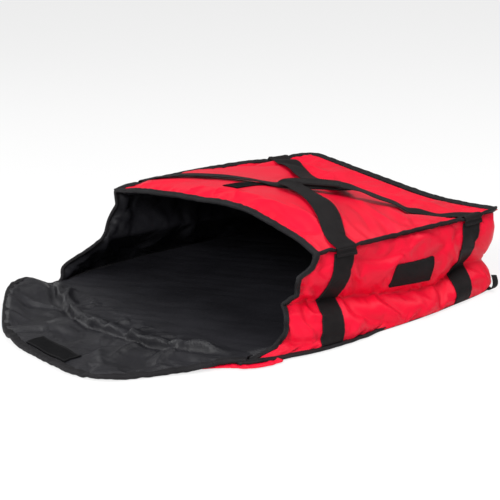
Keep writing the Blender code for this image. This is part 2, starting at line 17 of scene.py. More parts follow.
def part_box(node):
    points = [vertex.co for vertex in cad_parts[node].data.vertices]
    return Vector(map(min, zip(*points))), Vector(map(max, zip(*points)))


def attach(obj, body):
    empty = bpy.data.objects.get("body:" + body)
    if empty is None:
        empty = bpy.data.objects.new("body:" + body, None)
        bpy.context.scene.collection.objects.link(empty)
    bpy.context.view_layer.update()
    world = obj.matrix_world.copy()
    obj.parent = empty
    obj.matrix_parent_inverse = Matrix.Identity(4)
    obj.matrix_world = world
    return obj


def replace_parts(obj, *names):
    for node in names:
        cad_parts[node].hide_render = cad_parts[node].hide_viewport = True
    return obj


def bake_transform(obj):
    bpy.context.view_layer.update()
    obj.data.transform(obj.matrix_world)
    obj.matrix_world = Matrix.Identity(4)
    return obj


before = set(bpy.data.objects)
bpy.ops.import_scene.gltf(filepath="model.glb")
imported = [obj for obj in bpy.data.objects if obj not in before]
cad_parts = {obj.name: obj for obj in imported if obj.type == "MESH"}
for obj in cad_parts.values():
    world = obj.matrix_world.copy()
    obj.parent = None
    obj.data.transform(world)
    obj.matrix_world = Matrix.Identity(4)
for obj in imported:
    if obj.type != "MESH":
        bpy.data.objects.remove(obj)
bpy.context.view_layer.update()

# The camera that took the photograph, fitted to it
CAMERA_AT = Vector((1.87185, -1.44757, 0.77029))
CAMERA_AZIMUTH = math.radians(52.993)
CAMERA_ELEVATION = math.radians(16.613)
CAMERA_ROLL = math.radians(-1.98)
CAMERA_LENS_MM = 107.7
CAMERA_SENSOR_MM = 36.0

# The lip and the back, read from the frame
LIP_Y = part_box("bottom_shell")[0].y
REAR_Y = -LIP_Y

# Webbing, and how far from the middle the handles' free parts begin
STRAP_WIDTH = 0.038
STRAP_THICKNESS = 0.0016
HANDLE_INNER = 0.240

UP = Vector((0, 0, 1))

# Thicknesses of the sewn wall, and the lowest that its shell comes
WALL = 0.0080
EDGE = 0.0030
LOWEST = 0.0012

# The top panel's left and right edges from the mouth to the back: share, x, y and z
TOP_LEFT = (
    (0.00, -0.250, -0.133, 0.144), (0.17, -0.253, -0.061, 0.145), (0.40, -0.252, 0.031, 0.146),
    (0.65, -0.243, 0.136, 0.145), (0.82, -0.233, 0.205, 0.142), (1.00, -0.220, 0.280, 0.144),
)
TOP_RIGHT = (
    (0.00, 0.261, -0.116, 0.137), (0.19, 0.262, -0.042, 0.135), (0.39, 0.261, 0.033, 0.133),
    (0.61, 0.259, 0.118, 0.131), (0.81, 0.256, 0.197, 0.128), (1.00, 0.255, 0.274, 0.130),
)
# How high the panel stands over the line between its edges: share of its depth, metres
TOP_DOME = ((0.00, 0.034), (0.12, 0.041), (0.38, 0.026), (0.66, 0.002), (1.00, -0.016))
# How that rise is spread over the width: share from the middle, share of the rise
TOP_SPREAD_SHARES = (
    (-1.00, 0.00), (-0.60, 0.42), (-0.10, 0.81), (0.20, 1.00), (0.42, 0.97), (0.70, 0.64),
    (0.88, 0.32), (1.00, 0.00),
)
# Half the bottom's width: share of its depth, metres to the left, metres to the right
BOTTOM_HALF = (
    (0.00, 0.251, 0.256), (0.06, 0.265, 0.271), (0.14, 0.277, 0.281), (0.22, 0.282, 0.289),
    (0.30, 0.284, 0.292), (0.42, 0.286, 0.290), (0.60, 0.283, 0.288), (0.70, 0.279, 0.284),
    (0.80, 0.272, 0.277), (0.90, 0.261, 0.270), (0.96, 0.254, 0.263), (1.00, 0.249, 0.255),
)
BOTTOM_REAR_BOW = 0.006
# Where the mouth's edge lies on each side wall: share of the height, y
MOUTH_RIGHT = (
    (0.00, -0.254), (0.05, -0.232), (0.10, -0.205), (0.20, -0.184), (0.36, -0.172),
    (0.50, -0.168), (0.57, -0.158), (0.64, -0.155), (0.76, -0.153), (0.83, -0.151),
    (0.87, -0.134), (0.92, -0.123), (1.00, -0.116),
)
MOUTH_LEFT = (
    (0.00, -0.258), (0.19, -0.239), (0.30, -0.206), (0.60, -0.152), (0.71, -0.141),
    (0.82, -0.133), (1.00, -0.133),
)
# The side walls' fold: share of the depth, share of the height, metres pushed in
CREASE_RIGHT = (
    (0.00, 0.50, 0.012), (0.10, 0.47, 0.020), (0.27, 0.42, 0.027), (0.42, 0.35, 0.024),
    (0.55, 0.30, 0.021), (0.72, 0.27, 0.020), (0.86, 0.39, 0.021), (1.00, 0.38, 0.007),
)
CREASE_LEFT = (
    (0.00, 0.46, 0.012), (0.30, 0.44, 0.026), (0.60, 0.38, 0.026), (1.00, 0.40, 0.014),
)
LOWER_BULGE = 0.008
UPPER_BULGE = 0.007
CORNER_SHARE_SIDE = 0.055
CORNER_SHARE_REAR = 0.050

SIDE_COLUMNS = 130
CORNER_COLUMNS = 12
REAR_COLUMNS = 130
WALL_ROWS = 44
TOP_COLUMNS = 120
TOP_ROWS = 96


def mix(a, b, t):
    return a + (b - a) * t


def clamp(t):
    return min(max(t, 0.0), 1.0)


def smooth(t):
    t = clamp(t)
    return t * t * (3 - 2 * t)


def read(table, t, column=1):
    """A smooth curve through one column of a table, read at t of the first column."""
    t = min(max(t, table[0][0]), table[-1][0])
    last = len(table) - 1
    i = max(k for k in range(last) if k == 0 or table[k][0] <= t)
    left, right = table[i], table[i + 1]
    width = right[0] - left[0]

    def slope(k):
        before, after = table[max(k - 1, 0)], table[min(k + 1, last)]
        return (after[column] - before[column]) / (after[0] - before[0])

    w = (t - left[0]) / width
    return (
        left[column] * (2 * w**3 - 3 * w**2 + 1)
        + right[column] * (3 * w**2 - 2 * w**3)
        + slope(i) * width * (w**3 - 2 * w**2 + w)
        + slope(i + 1) * width * (w**3 - w**2)
    )


def top_point(a, b):
    """The top panel's outer face: a from -1 at the left edge to 1, b from the mouth to the back."""
    left = Vector([read(TOP_LEFT, b, k) for k in (1, 2, 3)])
    right = Vector([read(TOP_RIGHT, b, k) for k in (1, 2, 3)])
    point = left.lerp(right, (a + 1) / 2)
    point.z += read(TOP_DOME, b) * read(TOP_SPREAD_SHARES, a)
    return point


def crease(table, u, v):
    """How far out the side wall stands at share u of its depth and v of its height."""
    at, depth = read(table, u, 1), read(table, u, 2)
    t = v / at if v < at else (1 - v) / (1 - at)
    bulge = LOWER_BULGE if v < at else UPPER_BULGE
    return bulge * math.sin(math.pi * t) - depth * t**2.4


def side_point(sign, u, v):
    """A side wall's outer face: u from the mouth to the back, v from the floor to the top edge."""
    top = top_point(sign, u)
    table = MOUTH_RIGHT if sign > 0 else MOUTH_LEFT
    rear = mix(REAR_Y, top_point(sign, 1).y, v)
    out = crease(CREASE_RIGHT if sign > 0 else CREASE_LEFT, u, v)
    x = mix(read(BOTTOM_HALF, u, 1 if sign < 0 else 2), abs(top.x), v) + out
    rear += (out - UPPER_BULGE * math.sin(math.pi * v)) * smooth((u - 0.5) / 0.5) * 0.6
    return Vector((sign * x, mix(read(table, v), rear, u), v * top.z))


def rear_point(a, v):
    """The back wall's outer face: a from -1 at the left corner to 1."""
    left, right = side_point(-1, 1, v), side_point(1, 1, v)
    point = left.lerp(right, (a + 1) / 2)
    point.z = v * top_point(a, 1).z
    point.y += BOTTOM_REAR_BOW * (1 - a * a)
    return point


def wall_point(t, v):
    """The walls round the bag: t runs over 0-1 on the left, 1-2 at the back and 2-3 on the right."""
    if t < 1 - CORNER_SHARE_SIDE:
        return side_point(-1, t, v)
    if t > 2 + CORNER_SHARE_SIDE:
        return side_point(1, 3 - t, v)
    if 1 + CORNER_SHARE_REAR < t < 2 - CORNER_SHARE_REAR:
        return rear_point(2 * (t - 1) - 1, v)
    sign = -1 if t < 1.5 else 1
    start = side_point(sign, 1 - CORNER_SHARE_SIDE, v)
    end = rear_point(sign * (1 - 2 * CORNER_SHARE_REAR), v)
    corner = side_point(sign, 1, v)
    corner.z = mix(start.z, end.z, 0.5)
    if sign < 0:
        w = (t - 1 + CORNER_SHARE_SIDE) / (CORNER_SHARE_SIDE + CORNER_SHARE_REAR)
    else:
        w = (2 + CORNER_SHARE_SIDE - t) / (CORNER_SHARE_SIDE + CORNER_SHARE_REAR)
    return start.lerp(corner, w).lerp(corner.lerp(end, w), w)


def wall_stations():
    """The values of t at which the walls' columns of points lie."""
    side = [(1 - CORNER_SHARE_SIDE) * i / SIDE_COLUMNS for i in range(SIDE_COLUMNS)]
    width = CORNER_SHARE_SIDE + CORNER_SHARE_REAR
    corner = [1 - CORNER_SHARE_SIDE + width * i / CORNER_COLUMNS for i in range(CORNER_COLUMNS)]
    start, span = 1 + CORNER_SHARE_REAR, 1 - 2 * CORNER_SHARE_REAR
    rear = [start + span * i / REAR_COLUMNS for i in range(REAR_COLUMNS + 1)]
    return side + corner + rear + [3 - t for t in corner[::-1]] + [3 - t for t in side[::-1]]


# Paths and grids


def heading(path, i):
    """The direction in which a path runs at one of its points."""
    return (path[min(i + 1, len(path) - 1)] - path[max(i - 1, 0)]).normalized()


def normals_of(grid):
    """A unit normal at each point of a grid, from its neighbours along the rows and columns."""
    rows, columns = len(grid), len(grid[0])

    def normal(i, j):
        across = grid[i][min(j + 1, columns - 1)] - grid[i][max(j - 1, 0)]
        up = grid[min(i + 1, rows - 1)][j] - grid[max(i - 1, 0)][j]
        return across.cross(up).normalized()

    return [[normal(i, j) for j in range(columns)] for i in range(rows)]


def averages(points, reach):
    """Each point averaged with its neighbours, as far as reach to both sides."""
    near = [points[max(i - reach, 0):i + reach + 1] for i in range(len(points))]
    return [sum(part, Vector()) / len(part) for part in near]


def lengths(points):
    return [0.0, *accumulate((b - a).length for a, b in zip(points, points[1:]))]


def segment(stations, value):
    """Which stretch of rising stations holds a value, and the share of the way along it."""
    k = min(max(bisect.bisect_left(stations, value) - 1, 0), len(stations) - 2)
    return k, (value - stations[k]) / max(stations[k + 1] - stations[k], 1e-9)


def resample(points, count):
    """The same path as count + 1 points, equally far apart."""
    reach = lengths(points)
    out = []
    for i in range(count + 1):
        k, w = segment(reach, reach[-1] * i / count)
        out.append(points[k].lerp(points[k + 1], clamp(w)))
    return out


def curve_through(points, count):
    """A smooth path through a few points, resampled to count + 1 points."""
    dense = []
    for i in range(len(points) - 1):
        before, a = points[max(i - 1, 0)], points[i]
        b, after = points[i + 1], points[min(i + 2, len(points) - 1)]
        for step in range(12):
            w = step / 12
            dense.append(0.5 * (
                2 * a + (b - before) * w + (2 * before - 5 * a + 4 * b - after) * w * w
                + (3 * a - before - 3 * b + after) * w**3
            ))
    dense.append(points[-1])
    return resample(dense, count)


def quads(grid):
    """The faces between a grid's points, as indices of its points row by row."""
    width = len(grid[0])
    starts = [i * width + j for i in range(len(grid) - 1) for j in range(width - 1)]
    return [(k, k + 1, k + 1 + width, k + width) for k in starts]


# Meshes


def new_body():
    """An empty mesh, and the layer that holds its places on the cloth, in metres."""
    body = bmesh.new()
    return body, body.loops.layers.uv.new("cloth")


def add_face(body, layer, verts, places):
    face = body.faces.new(verts)
    for loop, place in zip(face.loops, places):
        loop[layer].uv = place
    return face


def finish_mesh(name, body, material):
    mesh = bpy.data.meshes.new(name)
    body.to_mesh(mesh)
    body.free()
    item = bpy.data.objects.new(name, mesh)
    bpy.context.scene.collection.objects.link(item)
    mesh.materials.append(material)
    for face in mesh.polygons:
        face.use_smooth = True
    return item


def panel_object(name, outer, inner, materials):
    """A padded panel: its outer face, its inner face, and a narrow edge round both."""
    rows, columns = len(outer) - 1, len(outer[0]) - 1
    across = lengths(outer[len(outer) // 2])
    up = lengths([row[len(row) // 2] for row in outer])
    body, layer = new_body()
    verts = [[[body.verts.new(point) for point in row] for row in grid] for grid in (outer, inner)]

    def add(corners, material=0):
        places = [(across[c], up[r]) for side, r, c in corners]
        face = add_face(body, layer, [verts[side][r][c] for side, r, c in corners], places)
        face.material_index = material

    for side, turn in ((0, 1), (1, -1)):
        for i in range(rows):
            for j in range(columns):
                corners = [(side, i, j), (side, i, j + 1), (side, i + 1, j + 1), (side, i + 1, j)]
                add(corners[::turn], side)
    for j in range(columns):
        for a, b, i in ((1, 0, 0), (0, 1, rows)):
            add([(a, i, j), (a, i, j + 1), (b, i, j + 1), (b, i, j)])
    for i in range(rows):
        for a, b, j in ((0, 1, 0), (1, 0, columns)):
            add([(a, i, j), (a, i + 1, j), (b, i + 1, j), (b, i, j)])
    for grid in verts:
        for line in (grid[0], grid[-1], [row[0] for row in grid], [row[-1] for row in grid]):
            for pair in zip(line, line[1:]):
                body.edges.get(pair).smooth = False
    if body.calc_volume(signed=True) < 0:
        bmesh.ops.reverse_faces(body, faces=body.faces)
    item = finish_mesh(name, body, materials[0])
    item.data.materials.append(materials[1])
    return item


def tube_object(name, sections, material):
    """A closed tube through sections of the same number of points."""
    count = len(sections[0])
    along = lengths([sum(section, Vector()) / count for section in sections])
    middle = sections[len(sections) // 2]
    around = lengths([*middle, middle[0]])
    body, layer = new_body()
    loops = [[body.verts.new(point) for point in section] for section in sections]
    for i in range(len(sections) - 1):
        for j in range(count):
            corners = ((i, j), (i, j + 1), (i + 1, j + 1), (i + 1, j))
            verts = [loops[r][c % count] for r, c in corners]
            add_face(body, layer, verts, [(along[r], around[c]) for r, c in corners])
    for end in (loops[0], loops[-1]):
        body.faces.new(end)
    bmesh.ops.recalc_face_normals(body, faces=body.faces)
    return finish_mesh(name, body, material)


WEB_SHARES = (
    0.0, 0.012, 0.035, 0.08, 0.16, 0.26, 0.38, 0.5, 0.62, 0.74, 0.84, 0.92, 0.965, 0.988, 1.0,
)


def band_section(row, normals, shares, thickness, rim=0.035):
    """A woven band's outline over one row of its middle, with both long edges rounded."""
    halves = []
    for normal, share in zip(normals, shares):
        edge = min(share, 1 - share) / rim
        halves.append(normal * (thickness / 2 * (0.35 + 0.65 * math.sqrt(clamp(edge)))))
    return [p + half for p, half in zip(row, halves)] + [p - half for p, half in zip(row, halves)][::-1]


def slab_object(name, grid, thickness, material, shares=WEB_SHARES):
    """A flat woven band: the grid is its middle."""
    sections = [band_section(row, line, shares, thickness) for row, line in zip(grid, normals_of(grid))]
    return tube_object(name, sections, material)


# Half of the folded tape's outline: share of its width, share of half its thickness
TAPE_SHARES = (
    (1.0, 0.95), (0.97, 1.12), (0.80, 1.22), (0.55, 1.18), (0.30, 1.22), (0.10, 1.20),
    (0.0, 1.05), (-0.06, 0.75), (-0.10, 0.35),
)


def folded_tape(name, stops, width, half, wave=1.0, size=None):
    """Tape folded over an edge, from stops of a point, its inward and its outward direction."""
    profile = [*TAPE_SHARES, (-0.11, 0.0), *[(a, -b) for a, b in TAPE_SHARES[::-1]]]
    sections = []
    for i, (point, inward, outward) in enumerate(stops):
        gather = 1 + 0.10 * wave * noise.noise(Vector((i * 0.31, 0.0, 7.0)))
        sway = 0.0006 * wave * noise.noise(Vector((i * 0.23, 4.0, 0.0)))
        part = size(point) if size else 1.0
        section = []
        for a, b in profile:
            spot = point + inward * (a * width * gather * part) + outward * (b * half * part + sway)
            spot.z = max(spot.z, 0.0003 + 0.0002 * (b + 1.3))
            section.append(spot)
        sections.append(section)
    return tube_object(name, sections, BINDING)


class Skin:
    """A sewn panel's outer face: a grid of points over two shares, read anywhere between them."""

    def __init__(self, across, up, grid, facing):
        self.across, self.up, self.grid, self.facing = across, up, grid, facing
        self.normals = [[normal * facing for normal in line] for line in normals_of(grid)]

    def at(self, s, t, out=0.0):
        j, ws = segment(self.across, s)
        i, wt = segment(self.up, t)

        def blend(table):
            low = table[i][j].lerp(table[i][j + 1], ws)
            return low.lerp(table[i + 1][j].lerp(table[i + 1][j + 1], ws), wt)

        point = blend(self.grid)
        return point + blend(self.normals).normalized() * out if out else point

    def normal(self, s, t):
        return (self.at(s, t, 1.0) - self.at(s, t)).normalized()


# Stitches waiting to be made, by the body that they ride on
THREADS = {}
THREAD_RADIUS = 0.0004


def sew(body, path, normals, pitch=0.0034, size=0.0024):
    """Adds a line of stitches along a path, each a small tapered lozenge of thread."""
    reach = lengths(path)
    store = THREADS.setdefault(body, [])
    for i in range(int(reach[-1] / pitch)):
        k, w = segment(reach, (i + 0.5) * pitch)
        step = path[k + 1] - path[k]
        point = path[k].lerp(path[k + 1], clamp(w))
        normal = normals[k].lerp(normals[k + 1], clamp(w)).normalized()
        if step.length > 1e-7 and point.z >= THREAD_RADIUS * 2:
            store.append((point, step.normalized(), normal, size))


def make_threads():
    for body_name, stitches in THREADS.items():
        body = bmesh.new()
        for point, along, normal, size in stitches:
            side = along.cross(normal).normalized()
            rings = []
            for share, wide in ((-0.36, 0.75), (0.0, 1.0), (0.36, 0.75)):
                middle = point + along * size * share
                turns = [math.pi * k / 3 for k in range(6)]
                offsets = [side * math.cos(turn) + normal * math.sin(turn) for turn in turns]
                rings.append([body.verts.new(middle + offset * THREAD_RADIUS * wide) for offset in offsets])
            tips = [body.verts.new(point + along * size * share - normal * THREAD_RADIUS * 0.6)
                    for share in (-0.52, 0.52)]
            for k in range(6):
                after = (k + 1) % 6
                for low, high in zip(rings, rings[1:]):
                    body.faces.new((low[k], low[after], high[after], high[k]))
                body.faces.new((tips[0], rings[0][after], rings[0][k]))
                body.faces.new((tips[1], rings[2][k], rings[2][after]))
        bmesh.ops.recalc_face_normals(body, faces=body.faces)
        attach(finish_mesh(f"stitches_{body_name}", body, THREAD), body_name)


# Materials


def feed(tree, node, inputs):
    """Gives each named or numbered input of a node its value, or joins it to a socket."""
    for name, value in inputs.items():
        if isinstance(value, bpy.types.NodeSocket):
            tree.links.new(value, node.inputs[name])
        else:
            node.inputs[name].default_value = value


def add_node(tree, kind, inputs, **settings):
    node = tree.nodes.new(f"ShaderNode{kind}")
    for name, value in settings.items():
        setattr(node, name, value)
    feed(tree, node, inputs)
    return node.outputs


def maths(tree, operation, *values):
    return add_node(tree, "Math", dict(enumerate(values)), operation=operation)[0]


def new_material(name, colour, roughness, specular=0.5):
    material = bpy.data.materials.new(name)
    material.use_nodes = True
    tree = material.node_tree
    shader = tree.nodes["Principled BSDF"]
    look = {"Base Color": (*colour, 1.0), "Roughness": roughness, "Specular IOR Level": specular}
    feed(tree, shader, look)
    return material, tree, shader


def thread_height(tree, pitch_x, pitch_y):
    """Height of a plain weave whose threads are this far apart, from the cloth's own coordinates."""
    place = add_node(tree, "UVMap", {}, uv_map="cloth")["UV"]
    parts = add_node(tree, "SeparateXYZ", {0: place})
    waves = []
    for axis, pitch in (("X", pitch_x), ("Y", pitch_y)):
        waves.append(maths(tree, "SINE", maths(tree, "MULTIPLY", parts[axis], math.pi / pitch)))
    return maths(tree, "MULTIPLY", *waves)


def add_noise(tree, scale, detail):
    place = add_node(tree, "TexCoord", {})["Object"]
    return add_node(tree, "TexNoise", {"Vector": place, "Scale": scale, "Detail": detail})["Fac"]


def add_bump(tree, shader, *layers):
    """Bump nodes in a chain, one for each height with its strength and depth in metres."""
    chain = {}
    for height, strength, depth in layers:
        chain["Normal"] = add_node(
            tree, "Bump", {"Strength": strength, "Distance": depth, "Height": height, **chain}
        )["Normal"]
    feed(tree, shader, chain)


def vary_colour(tree, shader, fac, dark, light):
    ramp = tree.nodes.new("ShaderNodeValToRGB")
    for stop, place, colour in zip(ramp.color_ramp.elements, (0.3, 0.7), (dark, light)):
        stop.position = place
        stop.color = (*colour, 1.0)
    feed(tree, ramp, {"Fac": fac})
    feed(tree, shader, {"Base Color": ramp.outputs["Color"]})


def nylon(name, colour, roughness, specular, pitch, blotch, shades, softness):
    """Woven nylon: softness is the scale, strength and depth of its fine unevenness."""
    material, tree, shader = new_material(name, colour, roughness, specular)
    vary_colour(tree, shader, add_noise(tree, blotch, 2.0), *shades)
    scale, strength, depth = softness
    soft = (add_noise(tree, scale, 3.0), strength, depth)
    add_bump(tree, shader, soft, (thread_height(tree, pitch, pitch), 0.5, 0.0001))
    return material


def ribbed(name, colour, pitch_along, pitch_across, roughness):
    """Tape or webbing: ribs across its length, with the finer threads of its own weave, and a painted
    highlight along its rounded edges.
    """
    material, tree, shader = new_material(name, colour, roughness, 0.12)
    # Painted highlight: the colour turns lighter along convex edges, where the rounded rims catch the light
    edges = add_node(tree, "NewGeometry", {})["Pointiness"]
    edge_highlight = add_node(tree, "MapRange", {
        "Value": edges, "From Min": 0.51, "From Max": 0.60, "To Min": 0.0, "To Max": 0.35,
    })["Result"]
    # Random mottling plus the painted edge highlight picks between a darker and a lighter shade of the
    # colour
    mottle_and_edge_highlight = maths(tree, "ADD", add_noise(tree, 40.0, 3.0), edge_highlight)
    shades = [[part * share for part in colour] for share in (0.8, 1.35)]
    vary_colour(tree, shader, mottle_and_edge_highlight, *shades)
    add_bump(tree, shader, (thread_height(tree, pitch_along, pitch_across), 0.7, 0.00025))
    return material


def fuzzy(name, colour, scale):
    """The face of hook and loop tape: a dense pile that scatters light."""
    material, tree, shader = new_material(name, colour, 0.9, 0.06)
    place = add_node(tree, "TexCoord", {})["Object"]
    pile = add_node(tree, "TexVoronoi", {"Vector": place, "Scale": scale})["Distance"]
    add_bump(tree, shader, (pile, 0.8, 0.0006))
    return material


RED = nylon(
    "red_nylon", (0.80, 0.010, 0.045), 0.42, 0.16, 0.0006, 9.0,
    ((0.74, 0.003, 0.026), (0.82, 0.005, 0.034)), (60.0, 0.12, 0.0008),
)
LINING = nylon(
    "charcoal_lining", (0.018, 0.018, 0.021), 0.40, 0.28, 0.0005, 12.0,
    ((0.0090, 0.0088, 0.0110), (0.0145, 0.0142, 0.0175)), (45.0, 0.20, 0.0010),
)
BINDING = ribbed("binding_tape", (0.0125, 0.0118, 0.0132), 0.0008, 0.0016, 0.62)
WEBBING = ribbed("webbing", (0.0078, 0.0062, 0.0066), 0.0016, 0.0009, 0.55)
LOOP = fuzzy("loop_tape", (0.0060, 0.0058, 0.0062), 1500.0)
HOOK = fuzzy("hook_tape", (0.0060, 0.0060, 0.0066), 900.0)
THREAD = ribbed("thread", (0.020, 0.019, 0.020), 0.0006, 0.0006, 0.5)
LABEL = ribbed("label_fabric", (0.0070, 0.0060, 0.0065), 0.0005, 0.0005, 0.5)


# The bag's skin


def fold_field(x, y, folds):
    """Height that the soft folds in a list add at a place: both ends, width, height."""
    total = 0.0
    for x0, y0, x1, y1, width, height in folds:
        dx, dy = x1 - x0, y1 - y0
        span = math.hypot(dx, dy)
        w = ((x - x0) * dx + (y - y0) * dy) / span**2
        if not -0.15 < w < 1.15:
            continue
        away = ((x - x0) * dy - (y - y0) * dx) / span
        away += 0.12 * span * math.sin(math.pi * clamp(w)) * (1 if height > 0 else -1) * 0.35
        if abs(away) > 4 * width:
            continue
        ends = smooth((w + 0.15) / 0.35) * smooth((1.15 - w) / 0.35)
        total += height * ends * math.exp(-abs(away / width) ** 1.7)
    return total


def rumple(x, y, z, angle, along, across):
    """Drawn-out noise, about -1 to 1, whose folds run at an angle to the first axis."""
    turned = (x * math.cos(angle) + y * math.sin(angle), y * math.cos(angle) - x * math.sin(angle))
    return noise.noise(Vector((turned[0] / along, turned[1] / across, z)))


# Folds on the right wall: y and z of both ends, width, height; the left wall; the rear, in x and z
RIGHT_FOLDS = (
    (-0.050, 0.128, 0.120, 0.115, 0.006, 0.0022), (-0.040, 0.118, 0.050, 0.104, 0.005, -0.0020),
    (0.020, 0.088, 0.110, 0.122, 0.006, 0.0022), (0.100, 0.085, 0.190, 0.118, 0.008, -0.0026),
    (0.150, 0.098, 0.175, 0.060, 0.007, 0.0020), (-0.060, 0.112, -0.030, 0.070, 0.006, -0.0022),
    (-0.060, 0.046, 0.010, 0.010, 0.007, -0.0026), (-0.010, 0.040, 0.030, 0.006, 0.009, 0.0024),
    (0.060, 0.042, 0.020, 0.008, 0.008, -0.0020), (0.130, 0.040, 0.070, 0.006, 0.008, 0.0026),
    (0.150, 0.036, 0.110, 0.008, 0.006, -0.0020), (-0.075, 0.012, -0.040, 0.030, 0.005, 0.0030),
    (-0.150, 0.100, -0.120, 0.060, 0.005, -0.0034), (-0.165, 0.085, -0.120, 0.075, 0.005, 0.0034),
    (-0.170, 0.052, -0.110, 0.042, 0.005, 0.0030), (-0.175, 0.045, -0.165, 0.004, 0.006, -0.0040),
    (-0.150, 0.044, -0.140, 0.010, 0.006, 0.0034), (-0.190, 0.022, -0.120, 0.016, 0.005, -0.0034),
    (0.205, 0.100, 0.250, 0.060, 0.007, -0.0024), (0.210, 0.040, 0.250, 0.012, 0.008, 0.0020),
)
LEFT_FOLDS = (
    (-0.040, 0.125, 0.100, 0.100, 0.008, 0.0022), (0.020, 0.050, 0.100, 0.012, 0.009, -0.0022),
    (-0.120, 0.040, -0.060, 0.012, 0.007, 0.0026), (0.140, 0.100, 0.180, 0.060, 0.008, 0.0020),
    (-0.170, 0.060, -0.130, 0.020, 0.007, -0.0030),
)
REAR_FOLDS = (
    (-0.200, 0.110, -0.080, 0.070, 0.010, 0.0026), (0.060, 0.110, 0.190, 0.080, 0.009, -0.0024),
    (-0.120, 0.040, 0.020, 0.018, 0.010, 0.0024), (0.080, 0.045, 0.180, 0.014, 0.010, 0.0022),
)
# Folds on the top panel: x and y of both ends, width, height
TOP_FOLDS = (
    (0.140, -0.060, 0.235, -0.075, 0.006, 0.0024), (0.120, -0.090, 0.230, -0.095, 0.006, -0.0020),
    (0.090, -0.105, 0.200, -0.060, 0.007, 0.0020), (0.020, -0.100, 0.150, -0.085, 0.009, 0.0018),
    (0.225, -0.020, 0.120, 0.030, 0.007, 0.0024), (0.240, 0.010, 0.150, 0.050, 0.006, -0.0018),
    (0.235, 0.060, 0.130, 0.085, 0.007, 0.0022), (0.240, 0.095, 0.160, 0.115, 0.006, 0.0016),
    (0.060, -0.108, 0.040, -0.075, 0.004, 0.0020), (0.000, -0.106, -0.010, -0.080, 0.004, 0.0018),
    (-0.060, -0.110, -0.050, -0.085, 0.004, 0.0016), (-0.200, -0.110, -0.120, -0.060, 0.010, 0.0018),
    (-0.230, 0.180, -0.120, 0.220, 0.012, 0.0020), (0.020, 0.170, 0.180, 0.230, 0.012, 0.0024),
    (-0.050, 0.200, 0.120, 0.260, 0.012, -0.0024), (0.150, 0.160, 0.235, 0.180, 0.008, -0.0020),
)


def wall_height(t, v, point):
    """How far folds lift a wall's face, held down along its seams."""
    hold = smooth(min(v, 1 - v) / 0.10)
    if t < 1:
        lift = fold_field(point.y, point.z, LEFT_FOLDS)
        place = (point.y, point.z, 3.0)
    elif t > 2:
        lift = 1.5 * fold_field(point.y, point.z, RIGHT_FOLDS)
        place = (point.y, point.z, 11.0)
        bunch = smooth((-0.115 - point.y) / 0.03)
        lift += 0.0030 * bunch * rumple(*place, 1.2, 0.030, 0.014)
    else:
        lift = fold_field(point.x, point.z, REAR_FOLDS)
        place = (point.x, point.z, 7.0)
    lift += 0.0016 * rumple(*place, 0.6, 0.080, 0.030) + 0.0007 * rumple(*place, -0.7, 0.040, 0.012)
    return lift * hold


def edge_waves(t, v):
    """The wavy edge of the walls at the mouth: how far it moves forward and out."""
    near = 1 - smooth(min(t, 3 - t) / 0.10)
    if near <= 0:
        return Vector()
    seed = 1.0 if t < 1.5 else 5.0
    hold = smooth(min(v, 1 - v) / 0.06)
    along = 0.005 * noise.noise(Vector((v * 7.0, seed, 0.0)))
    out = 0.006 * noise.noise(Vector((v * 5.5, seed, 9.0)))
    return Vector((out * (1 if t > 1.5 else -1), along, 0.0)) * near * hold


def make_skins():
    """The outer faces of the walls and the top, with their folds."""
    up = [i / WALL_ROWS for i in range(WALL_ROWS + 1)]
    stations = wall_stations()
    grid = [[wall_point(t, v) for t in stations] for v in up]
    for v, row, line in zip(up, grid, normals_of(grid)):
        for j, t in enumerate(stations):
            row[j] = row[j] - line[j] * wall_height(t, v, row[j]) + edge_waves(t, v)
            row[j].z = max(row[j].z, LOWEST)
    walls = settle(Skin(stations, up, grid, -1), wall_hold, 0.028, 0.007)
    across = [2 * j / TOP_COLUMNS - 1 for j in range(TOP_COLUMNS + 1)]
    deep = [i / TOP_ROWS for i in range(TOP_ROWS + 1)]
    grid = [[top_point(a, b) for a in across] for b in deep]
    for b, row in zip(deep, grid):
        for j, a in enumerate(across):
            point = row[j]
            hold = smooth(min(b, 1 - b, (1 - abs(a)) * 0.6) / 0.05)
            lift = 2.0 * fold_field(point.x, point.y, TOP_FOLDS)
            lift += 0.0018 * rumple(point.x, point.y, 2.0, 0.4, 0.120, 0.050)
            lift += 0.0005 * rumple(point.x, point.y, 5.0, -0.8, 0.050, 0.016)
            row[j] = point + Vector((0, 0, lift * hold))
    return walls, settle(Skin(across, deep, grid, 1), top_hold, 0.022, 0.006)


CLOTH_FRAMES = 18
CLOTH_SETTINGS = {
    "quality": 6, "mass": 0.12, "tension_stiffness": 18.0, "compression_stiffness": 18.0,
    "shear_stiffness": 8.0, "bending_stiffness": 5.0, "air_damping": 2.0, "tension_damping": 8.0,
    "compression_damping": 8.0, "vertex_group_mass": "pins", "pin_stiffness": 1.0,
    "use_pressure": True, "uniform_pressure_force": 0.8,
}


